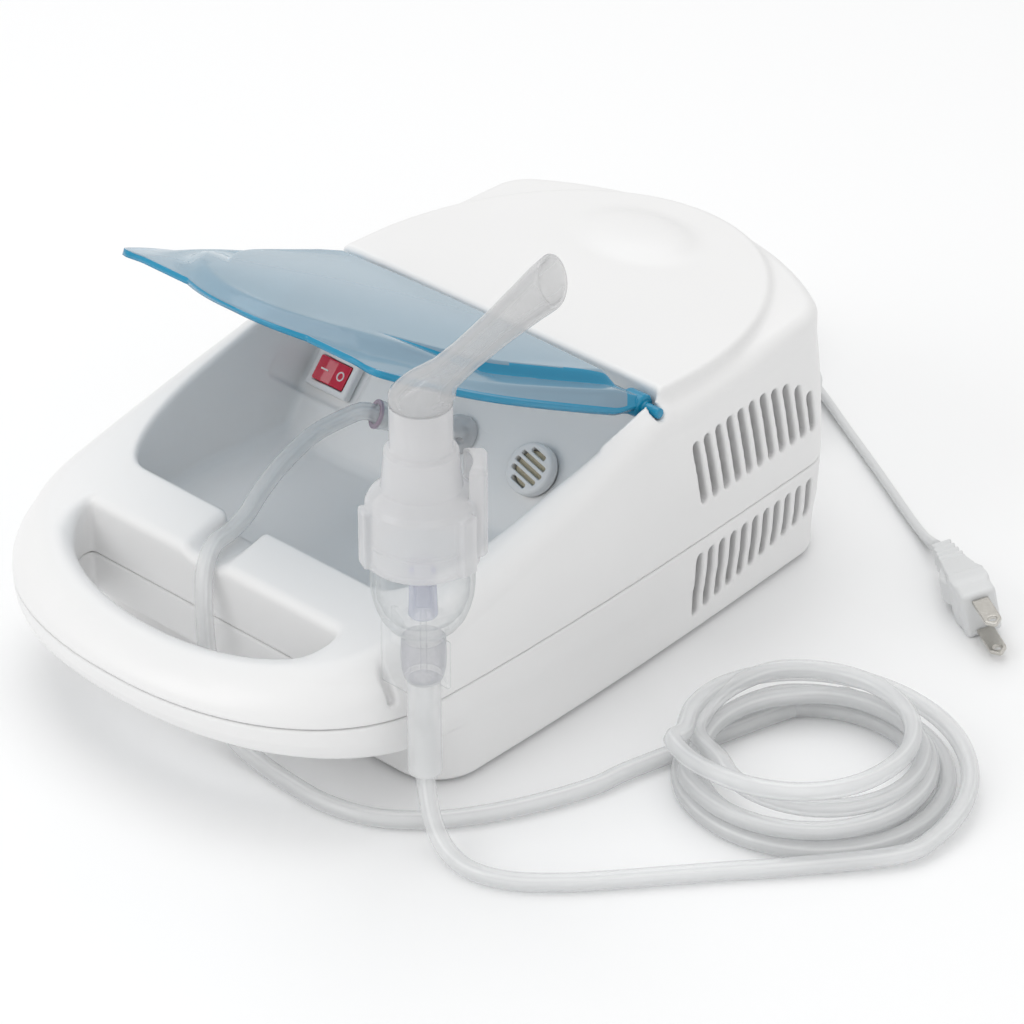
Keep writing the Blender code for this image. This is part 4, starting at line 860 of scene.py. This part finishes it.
def make_housing():
    step, keep = ((0.95, 0.5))
    looks = "housing", "housing", "housing_white"
    halves = ("upper_housing", upper_field, SEAM_Z, 108), ("lower_housing", lower_field, 0, SEAM_Z)
    for name, field, low_z, high_z in halves:
        moulded(
            f"{name}_shell", field, (-94, FRONT_Y - 1, low_z), (94, 181, high_z), step, *looks, name,
            keep=keep,
        )


# Lid


def step_up(low, high, value):
    t = min(max((value - low) / (high - low), 0), 1)
    return t * t * (3 - 2 * t)


def lid_crease(away):
    """Half the distance between the lid's two creases, by the distance from the hinge."""
    return max(68 - 0.14 * away - 20 * (max(away - 60, 0) / 44) ** 2, 24)


def lid_point(u, t):
    """The lid's top surface, closed and level about its hinge: u from side to side, t from hinge to front."""
    half = 75.0 if t < 0.45 else 75 - 13 * ((t - 0.45) / 0.55) ** 2.6
    half -= 3 * (1 - math.sqrt(max(0.0, 1 - max(0.0, (t - 0.975) / 0.025) ** 2)))
    away = 2 + (LID_LENGTH - 2) * t
    crease = lid_crease(away)
    x = crease * u / 0.8 if abs(u) < 0.8 else math.copysign(
        crease + (half - crease) * (abs(u) - 0.8) / 0.2, u
    )
    away += 8 * max(0.0, 1 - (x / 29) ** 2) * t**4
    inside = 70 * (1 - ((abs(x) / 70) ** 1.8 + (max(away - 60, 0) / 76) ** 1.8) ** (1 / 1.8))
    fade = 1 - step_up(66, 104, away)
    rise = step_up(3, 15, away)
    raised = 4.4 * rise * step_up(0, 7, inside) * (1 - (1 - step_up(-0.9, 0.9, crease - abs(x))) * fade)
    crown = 2.0 * max(0.0, 1 - (x / 58) ** 2) * max(0.0, 1 - ((away - 62) / 64) ** 2)
    edge = (7.5 - 6.9 * t) * step_up(0.94, 1.0, abs(u))
    return (x, -away, 3.4 + 1.6 * rise + 2.5 * t * t + raised + crown * rise - edge * (0.4 + 0.6 * rise))


def make_lid():
    turn = Matrix.Translation((0, HINGE_Y, HINGE_Z)) @ Matrix.Rotation(
        math.atan(RIM_SLOPE) - math.radians(LID_OPEN), 4, "X"
    )
    spans = (
        np.linspace(0, 0.76, 30), np.linspace(0.76, 0.84, 21), np.linspace(0.84, 0.94, 6),
        np.linspace(0.94, 1, 13),
    )
    half = np.unique(np.round(np.concatenate(spans), 4))
    us, ts = np.concatenate([-half[:0:-1], half]), np.linspace(0, 1, 131)
    points = [lid_point(u, t) for t in ts for u in us]
    n, faces = len(us), []
    for i in range(len(ts) - 1):
        faces += [(i * n + j, (i + 1) * n + j, (i + 1) * n + j + 1, i * n + j + 1) for j in range(n - 1)]
    mesh = bpy.data.meshes.new("lid_sheet")
    mesh.from_pydata(points, [], faces)
    if mesh.polygons[len(faces) // 2].normal.z < 0:
        mesh.flip_normals()
    for look in ("lid", "lid_edge"):
        mesh.materials.append(LOOKS[look])
    for polygon in mesh.polygons:
        across = abs(us[polygon.index % (n - 1)] + us[polygon.index % (n - 1) + 1]) / 2
        away = -polygon.center.y
        crease = away < 100 and abs(across - 0.803) < 0.016 * (1.15 - away / 100)
        polygon.material_index = int(crease or across > 0.985 or (across > 0.93 and away < 9))
    mesh = modified(mesh, SOLIDIFY={"thickness": LID_T, "offset": -1, "material_offset_rim": 1})
    mesh.transform(turn)
    mesh.transform(Matrix.Translation(SHIFT) @ Matrix.Scale(MM, 4))
    piece("lid_cover", mesh, "lid", "lid", "lid_blue", "lid")
    for side in (-1, 1):
        name = "lid_knuckle_right" if side > 0 else "lid_knuckle_left"

        def knuckle(x, y, z):
            barrel = rod(y, z, x - side * 71, 4.4, -4.4, 4.4, 1.2)
            bar = block(x - side * 70.6, y + 8, z + 1.0, (2.6, 9, 2.8), 1.4)
            return either(either(barrel, bar, 1.5), rod(y, z, x - side * 78.5, 2.0, -4, 4, 0.4), 0.3)

        ends = sorted((side * 66, side * 83))
        moulded(
            name, knuckle, (ends[0], -30, -6), (ends[1], 5, 8), 0.5, "lid_edge", "lid", "lid_blue", turn=turn
        )


# Control panel


def make_switch():
    at = panel_matrix(SWITCH_X)

    def bezel(x, y, z):
        plate = block(x, y, z - 0.6, (10.4, 7.4, 1.9), 1.1)
        return cut(
            either(plate, block(x, y, z + 9, (8.2, 5.5, 10), 0.4)), block(x, y, z - 4.0, (7.7, 4.95, 9), 0.5),
            0.5,
        )

    looks = "white_matte", "housing", "housing_white"
    moulded("switch_bezel", bezel, (-11, -8, -20), (11, 8, 3), 0.4, *looks, "switch_case", turn=at)
    tilt = at @ Matrix.Rotation(math.radians(ROCKER_TILT), 4, "Y")
    profile = [(-7, 3.7), (-3.6, 2.7), (0, 2.1), (3.6, 2.7), (7, 3.7), (6.7, -0.5)]
    profile += [
        (6.6 * math.cos(a), -0.5 - 3.6 * math.sin(a)) for a in np.linspace(0.2, 2.94, 9)
    ] + [(-6.7, -0.5)]
    moulded(
        "rocker_key", lambda x, y, z: both(
            outline(profile, x, z), np.abs(y) - 4.7, 0.5
        ), (-7.2, -5, -4.4), (7.2, 5, 4),
        0.22, "rocker", "rocker", "rocker_red", "switch_rocker", turn=tilt,
    )
    for name, x, shape in (
        ("rocker_mark_on", -3.7, lambda u, v, w: block(u, v, w, (1.5, 0.3, 0.25), 0.12)),
        ("rocker_mark_off", 3.7, lambda u, v, w: np.hypot(np.hypot(u, v) - 1.55, w) - 0.3),
    ):
        slope = math.atan2(1.6, 7) * (1 if x < 0 else -1)
        seat = tilt @ Matrix.Translation((x, 0, 2.85)) @ Matrix.Rotation(slope, 4, "Y")
        moulded(name, shape, (-2, -2, -0.4), (2, 2, 0.4), 0.1, "mark", "rocker", "rocker_red", turn=seat)


def make_filter():
    at = panel_matrix(FILTER_X)

    def cap(x, y, z):
        disc = either(rod(x, y, z, 9.6, 0.4, 5.4, 1.3), rod(x, y, z, 8.2, -5, 2), 0.3)
        disc = cut(disc, rod(x, y, z, 7.2, -8, 3.6, 0.3), 0.3)
        u, v = spun(x, y, math.radians(76.6))
        for i in range(-2, 3):
            reach = math.sqrt(49 - (3 * i) ** 2)
            disc = cut(disc, block(u - 3 * i, v, z - 4, (0.85, reach, 3), 0.7), 0.35)
        return disc

    looks = "white_matte", "filter", "housing_white"
    moulded("filter_cover", cap, (-10, -10, -5.4), (10, 10, 5.8), 0.28, *looks, "filter_cap", turn=at)

    def pad(x, y, z):
        rough = 0.12 * np.sin(5.1 * x + 1.3 * y) * np.sin(4.3 * y - 0.9 * x)
        return rod(x, y, z, 6.9, -2.7, 3.2, 0.8) + rough

    low, high = (-7.4, -7.4, -3.2), (7.4, 7.4, 3.7)
    felt_pad = moulded("filter_felt", pad, low, high, 0.4, "felt", "filter", "felt", "filter_pad", turn=at)


def make_outlet():
    at = panel_matrix(OUTLET_X)
    start, way = outlet_axis()
    into = at.inverted().to_3x3()
    foot, way_in = at.inverted() @ start, into @ way
    dome = [
        (0, 7.5), (1.7, 7.4), (3.2, 7.0), (4.6, 6.3), (5.7, 5.3), (6.5, 4.1), (7.1, 2.6), (7.4, 0.4),
        (3.6, 0.4),
    ]
    dome += [(3.6, -16), (1.5, -16), (1.5, 2), (0, 2)]

    def field(x, y, z):
        body = outline(dome, np.hypot(x, y), z)
        px, py, pz = x - foot.x, y - foot.y, z - foot.z
        along = px * way_in.x + py * way_in.y + pz * way_in.z
        aside = np.sqrt(np.maximum((px**2 + py**2 + pz**2) - along**2, 0))
        body = either(body, both(aside - 2.3, np.abs(along - 10) - 10, 0.3), 1.2)
        body = cut(body, both(aside - 1.3, np.abs(along - 12) - 10), 0.2)
        return cut(body, np.sqrt((x - 4.6) ** 2 + (y + 2.2) ** 2 + (z - 5.4) ** 2) - 1.3, 0.3)

    looks = "dome", "housing", "frosted_plastic"
    moulded("outlet_fitting", field, (-14, -21, -16.5), (9, 9, 16), 0.4, *looks, "air_outlet", turn=at)
    cuff = [(5.2, 33), (5.2, 30.5), (4.9, 30), (4.9, 9), (2.6, 9), (2.6, 21), (3.5, 21.5), (3.5, 33)]
    base = Matrix.Translation(start) @ way.to_track_quat("Z", "Y").to_matrix().to_4x4()
    lathed("outlet_sleeve", cuff, base, 0.5, "vinyl", "housing", "clear_vinyl", "outlet_cuff")
    rim = [(5.35, 33.3), (5.35, 32.1), (3.6, 32.1), (3.6, 33.3)]
    lathed("outlet_sleeve_rim", rim, base, 0.4, "ring", "housing", "clear_vinyl")


# Kit


def rounded(profile, r):
    """A closed profile with its corners turned into short curves."""
    points = []
    for before, corner, after in zip(profile[-1:] + profile[:-1], profile, profile[1:] + profile[:1]):
        a, b, c = (np.array(p, float) for p in (before, corner, after))
        reach = [min(r, 0.45 * np.linalg.norm(q - b)) for q in (a, c)]
        start = b + (a - b) / np.linalg.norm(a - b) * reach[0]
        end = b + (c - b) / np.linalg.norm(c - b) * reach[1]
        for t in (0, 0.33, 0.67, 1):
            points.append(tuple((1 - t) ** 2 * start + 2 * t * (1 - t) * b + t * t * end))
    return points


def looped_faces(rows, n):
    """The faces between rows of n points, where the rows and the points in each close on themselves."""
    pairs = ((i, (i + 1) % rows, j, (j + 1) % n) for i in range(rows) for j in range(n))
    return [(i * n + j, i * n + m, k * n + m, k * n + j) for i, k, j, m in pairs]


def turned(name, profile, matrix, r, sides):
    """A closed profile of (radius, height) points turned about the matrix's Z."""
    profile = rounded(profile, r)
    n, points = len(profile), []
    for i in range(sides):
        a = 2 * math.pi * i / sides
        points += [
            tuple(matrix @ Vector((max(q, 0.001) * math.cos(a), max(q, 0.001) * math.sin(a), h)))
            for q, h in profile
        ]
    faces = looped_faces(sides, n)
    area = sum(p[0] * q[1] - q[0] * p[1] for p, q in zip(profile, profile[1:] + profile[:1]))
    if area > 0:
        faces = [face[::-1] for face in faces]
    return mesh_of(name, points, faces)


def lathed(name, profile, matrix, r, look, body, slot, *nodes, sides=56):
    """A piece turned from a profile."""
    return piece(name, turned(name, profile, matrix, r, sides), look, body, slot, *nodes)


KIT = Matrix.Translation((KIT_X, KIT_Y, 0))


def make_cup():
    outer = [
        (15.6, 117), (15.6, 109), (17, 108), (17, 100), (16.6, 96), (15.6, 92), (14.0, 88), (11.6, 84.6),
        (8.2, 82.8),
    ]
    outer += [(7.4, 81), (6.9, 66), (6.4, 64), (2.6, 63)]
    inner = [
        (2.6, 46), (1.2, 46), (1.2, 84), (1.0, 96), (2.4, 96), (3.2, 86.5), (8, 86.4), (11.2, 88), (13.4, 91)
    ]
    profile = outer + inner + [(14.9, 95), (15.4, 100), (14.3, 109), (14.3, 117)]

    def field(x, y, z):
        body = outline(profile, np.hypot(x, y), z)
        hook = either(
            block(x + 12.9, y, z - 66, (6.4, 1.0, 12), 0.9), block(x + 9, y, z - 78, (5.5, 1.0, 7), 0.9), 1.0
        )
        body = either(body, hook, 0.5)
        return either(body, block(x - 9, y, z - 73, (3, 0.9, 9), 0.8), 0.5)

    step, looks = 0.45, ("clear", "cup", "clear_plastic")
    moulded(
        "cup_body", field, (-20.5, -18, 45), (18, 18, 118), step, *looks, "medication_cup", turn=KIT, keep=0.5
    )
    collar = [(7.3, 79), (7.6, 73), (7.4, 68), (6.6, 64.6), (6.0, 64.6), (6.9, 68), (7.1, 73), (6.8, 79)]
    lathed("cup_spigot", collar, KIT, 0.3, "collar", "cup", "clear_plastic")


def make_baffle():
    profile = [
        (4.3, 108.5), (4.6, 96), (4.9, 88), (4.2, 87.2), (3.7, 88), (3.4, 93), (3.0, 99.5), (1.6, 100),
        (1.6, 108.5),
    ]
    lathed("baffle_column", profile, KIT, 0.5, "jet", "baffle", "frosted_plastic", "jet_baffle")
    for name, side in (("baffle_dot_left", -1), ("baffle_dot_right", 1)):
        around = math.radians(-46 + side * 50)
        at = KIT @ Matrix.Translation((4.5 * math.cos(around), 4.5 * math.sin(around), 106))
        moulded(
            name, lambda x, y, z: np.sqrt(x * x + y * y + (z * 1.4) ** 2) - 1.0, (-1.2,) * 3, (1.2,) * 3, 0.2,
            "ink", "baffle", "frosted_plastic", turn=at,
        )


def make_cap():
    profile = [
        (8.6, CHIMNEY_TOP), (10.2, CHIMNEY_TOP), (10.2, 150), (12.0, 149), (12.6, 142), (13.2, 136),
        (17.0, 132.6),
    ]
    profile += [
        (18.2, 130.5), (18.2, 112), (18.7, 111.4), (18.7, 109.7), (16.4, 109.7), (16.4, 118), (15.8, 128)
    ]
    profile += [(12, 131.2), (10.6, 147), (8.6, 150)]

    def field(x, y, z):
        radius = np.hypot(x, y)
        body = outline(profile, radius, z)
        u, v = spun(x, y, math.radians(44))
        chamber = block(u - 13.6, v - 1.5, z - 128.5, (7.4, 8.2, 16.5), 2.6)
        hollow = block(u - 13.6, v - 1.5, z - 127.0, (5.9, 6.7, 16.6), 1.8)
        body = either(body, cut(cut(chamber, hollow), radius - 16.2), 1.0)
        for turn in (-40, 80, 200):
            out, across = spun(u, v, math.radians(turn))
            lug = block(out - 18.4, across, z - 120.5, (2.2, 3.4, 10.4), 1.0)
            body = either(body, cut(lug, radius - 17.4), 0.7)
        ring = np.hypot(radius - 18.1, z - 118.5) - 0.55
        return either(body, ring, 0.4)

    step, looks = 0.5, ("frosted", "cap", "frosted_plastic")
    moulded("cap_shell", field, (-24, -24, 108), (24, 24, 168), step, *looks, "cup_cap", turn=KIT, keep=0.5)


MOUTH_TURN, MOUTH_LEAN, MOUTH_SIDES = math.radians(21), math.radians(42), 48
# distance along, lean of the section, half width across, half width in the plane of the bend
MOUTH_STATIONS = (
    (0, 0, 10.3, 10.3), (3.5, 0.1, 10.3, 10.3), (7, 0.4, 9.6, 9.0), (11, 0.8, 8.7, 7.0), (15, 1, 8.1, 5.9),
    (26, 1, 7.6, 5.4), (42, 1, 7.9, 5.8), (57, 1, 8.7, 6.8), (65, 1.25, 9.3, 7.6), (69, 1.6, 9.6, 8.2),
)


def mouth_ring(distance, shell):
    """One section of the mouthpiece at a distance along it, drawn in by shell."""
    along = [s[0] for s in MOUTH_STATIONS]
    bend, across, through = (
        float(np.interp(distance, along, [s[k] for s in MOUTH_STATIONS])) for k in (1, 2, 3)
    )
    out = Vector((math.cos(MOUTH_TURN), math.sin(MOUTH_TURN), 0))
    side = Vector((-math.sin(MOUTH_TURN), math.cos(MOUTH_TURN), 0))
    rise = Vector((0, 0, 1))
    way = out * math.sin(MOUTH_LEAN) + rise * math.cos(MOUTH_LEAN)
    centre = Vector(
        (KIT_X, KIT_Y, CHIMNEY_TOP + SEAM_GAP)
    ) + rise * min(distance, 3) + way * max(distance - 3, 0)
    lean = MOUTH_LEAN * min(bend, 1) + max(bend - 1, 0) * MOUTH_LEAN
    v = out * math.cos(lean) - rise * math.sin(lean)
    angles = (2 * math.pi * i / MOUTH_SIDES for i in range(MOUTH_SIDES))
    return [
        tuple(centre + side * ((across - shell) * math.cos(a)) + v * ((through - shell) * math.sin(a)))
        for a in angles
    ]


def make_mouthpiece():
    distances = list(np.linspace(0, 69, 58))
    rows = [mouth_ring(d, 0.0) for d in distances] + [
        mouth_ring(69.5, 0.35), mouth_ring(69.6, 0.7), mouth_ring(69.5, 1.05)
    ]
    rows += [mouth_ring(d, 1.4) for d in reversed(distances)]
    mesh = mesh_of("mouth_tube", [p for row in rows for p in row], looped_faces(len(rows), MOUTH_SIDES))
    piece("mouth_tube", mesh, "mouth", "mouthpiece", "frosted_plastic", "mouthpiece")


def make_kit_sleeve():
    cuff = [(5.6, 63), (5.8, 31), (5.8, 27), (3.5, 27), (3.5, 45), (2.9, 45.3), (2.9, 63)]
    return lathed("kit_sleeve", cuff, KIT, 0.5, "vinyl", "housing", "clear_vinyl", "kit_cuff")


# Plug and lead fittings


PLUG = Matrix.Translation(PLUG_AT) @ Euler((PLUG_ROLL, 0, PLUG_WAY)).to_matrix().to_4x4()


def make_plug():
    def body(x, y, z):
        front = block(x - 37, y, z, (8, 6.6, 9.2), 1.6)
        t = np.clip((x - 14) / 20, 0, 1)
        wedge = both(
            np.maximum(np.abs(y) - (4.4 + 2.4 * t), np.abs(z) - (5.6 + 3.9 * t)), np.abs(x - 25.5) - 11.5, 1.6
        )
        neck = both(np.maximum(np.abs(y) * 1.25, np.abs(z)) - (4.0 + 0.12 * x), np.abs(x - 8) - 7.6, 0.8)
        neck = neck + 0.45 * np.cos(x * 2 * math.pi / 3.6) * (x < 15)
        peak = both(np.abs(y) + 0.34 * np.abs(x - 24) - 8.4, np.abs(z) - 5.2 + 0.2 * np.abs(x - 24), 0.8)
        return either(either(either(front, wedge, 1.5), neck, 0.8), both(peak, np.abs(x - 26) - 14, 1.0), 0.8)

    low, high, looks = (0, -8.5, -10), (45.6, 8.5, 10), ("cord", "housing", "cord_white")
    plug = moulded("plug_moulding", body, low, high, 0.42, *looks, "plug_body", turn=PLUG)
    blades = []
    for name, side in (("plug_blade_upper", 1), ("plug_blade_lower", -1)):
        def blade(x, y, z):
            plate = block(x - 54, y, z - side * 6.35, (8.6, 3.15, 0.75), 0.35)
            plate = both(plate, np.abs(y) + 0.9 * (x - 60.2) - 2.6, 0.3)
            return cut(plate, np.hypot(x - 59, y) - 1.55, 0.2)

        low, high = (45, -3.4, side * 6.35 - 1.2), (63, 3.4, side * 6.35 + 1.2)
        blades.append(
            moulded(f"{name}_pin", blade, low, high, 0.2, "nickel", "housing", "nickel", name, turn=PLUG)
        )
    return [plug] + blades


def make_strain_relief():
    rear_r = (REAR_HALF**2 + REAR_BULGE**2) / (2 * REAR_BULGE)
    turn = math.asin(LEAD_X / (rear_r - SKIRT_INSET))
    wall_y = REAR_Y + REAR_BULGE - rear_r + (rear_r - SKIRT_INSET) * math.cos(turn)
    at = Matrix.Translation((LEAD_X, wall_y, LEAD_Z)) @ Euler((-math.pi / 2, 0, -turn)).to_matrix().to_4x4()
    profile = [(0, 31), (3.3, 31), (3.6, 28)]
    for i in range(6):
        z = 27 - 3.6 * i
        r = 3.7 + 0.16 * i
        profile += [(r, z), (r - 0.5, z - 1.1), (r - 0.5, z - 2.0), (r + 0.1, z - 2.8)]
    profile += [(4.8, 5), (6.2, 4.6), (6.2, 2.2), (3.9, 2.2), (3.9, -3.2), (5.4, -3.2), (5.4, -6), (0, -6)]
    return lathed("lead_grommet", profile, at, 0.3, "cord", "housing", "cord_white", "strain_relief")


def make_tie():
    """A wire tie round one side of the lead's coil."""
    middle_r, high = 35.8, LEAD_WIDE * 2 + 0.9
    at = (LEAD_COIL_AT[0] - middle_r, LEAD_COIL_AT[1], high / 2)

    def band(x, y, z):
        outer = block(x, y, z, (8.9, 2.4, high / 2 + 0.9), 1.4)
        return both(cut(outer, block(x, y, z, (7.9, 9, high / 2), 1.0)), -0.1 - at[2] - z + 0.2, 0.1)

    low, high_end = (-9.4, -3, -high / 2 - 0.6), (9.4, 3, high / 2 + 1.2)
    at_tie = Matrix.Translation(at)
    return moulded(
        "lead_tie", band, low, high_end, 0.3, "rubber", "housing", "rubber", "cord_tie", turn=at_tie
    )


# Base screws


def make_screws():
    """Base screws short enough to end under the tray's floor."""
    profile = [(0, 41), (1.0, 41), (1.5, 40), (1.5, 25.7), (3.1, 25.7), (3.1, 23.4), (0, 23.4)]
    for place, (x, y) in SCREW_PLACES.items():
        at = Matrix.Translation((x, y, 0))
        lathed(
            f"screw_{place}", profile, at, 0.2, "zinc", "housing", "steel", f"base_screw_{place}", sides=24
        )


# Carried-over CAD pieces


CAD_LOOKS = {
    "laminated": ("stator_core", "rotor"),
    "copper": ("motor_coil",),
    "steel": (
        "bearing_bracket_left", "bearing_bracket_right", "motor_shaft", "crank", "valve_plate",
        "mounting_plate",
    ),
    "bronze": ("bearing_bush_left", "bearing_bush_right", "switch_terminal_1", "switch_terminal_2"),
    "aluminium": ("wobble_piston", "pump_cylinder", "cylinder_head"),
    "fan": ("cooling_fan",),
    "silicone": ("intake_hose", "pressure_hose"),
    "white_matte": ("filter_seat",),
    "rubber": (
        "foot_front_left", "foot_front_right", "foot_rear_left", "foot_rear_right",
        "mount_bush_front_left", "mount_bush_front_right", "mount_bush_rear_left", "mount_bush_rear_right",
    ),
}


def dress_cad():
    for look, nodes in CAD_LOOKS.items():
        for node in nodes:
            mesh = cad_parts[node].data
            mesh.materials.clear()
            mesh.materials.append(LOOKS[look])


# Studio


def make_studio():
    bpy.ops.mesh.primitive_plane_add(size=12, location=(0, 0, -0.0002))
    floor = bpy.context.object
    floor.name = "studio_floor"
    s = Shader("studio_floor")
    s.set(Base_Color=(0.93, 0.935, 0.94, 1), Roughness=0.6)
    floor.data.materials.append(s.material)
    world = bpy.data.worlds.new("studio")
    world.use_nodes = True
    world.node_tree.nodes["Background"].inputs["Color"].default_value = (1.0, 0.997, 0.992, 1)
    world.node_tree.nodes["Background"].inputs["Strength"].default_value = 0.74
    bpy.context.scene.world = world
    lamps = (  # name, place, size and watts
        ("key", (-0.6, 0.4, 1.6), 1.4, 6.5),
        ("fill", (1.4, -0.5, 0.8), 1.2, 2.5),
        ("front", (-0.5, -1.4, 0.95), 1.0, 6.0),
        ("top", (0.1, -0.2, 1.8), 1.3, 2.4),
    )
    for name, place, size, power in lamps:
        lamp = bpy.data.lights.new(name, "AREA")
        lamp.size, lamp.energy = size, power
        ob = bpy.data.objects.new(name, lamp)
        ob.location = place
        ob.rotation_euler = Vector(place).to_track_quat("Z", "Y").to_euler()
        bpy.context.scene.collection.objects.link(ob)
    bpy.context.scene.view_settings.view_transform = "Standard"
    bpy.context.scene.cycles.transparent_max_bounces = 24


# Making


make_camera()
tube, tube_path, tube_length = make_air_tube()
lead, lead_path, lead_length = make_mains_lead()
relief = make_strain_relief()
tie = make_tie()
plug_pieces = make_plug()
make_housing()
make_lid()
make_switch()
make_filter()
make_outlet()
make_cup()
make_baffle()
make_cap()
make_mouthpiece()
make_screws()
sleeve = make_kit_sleeve()
dress_cad()
make_studio()
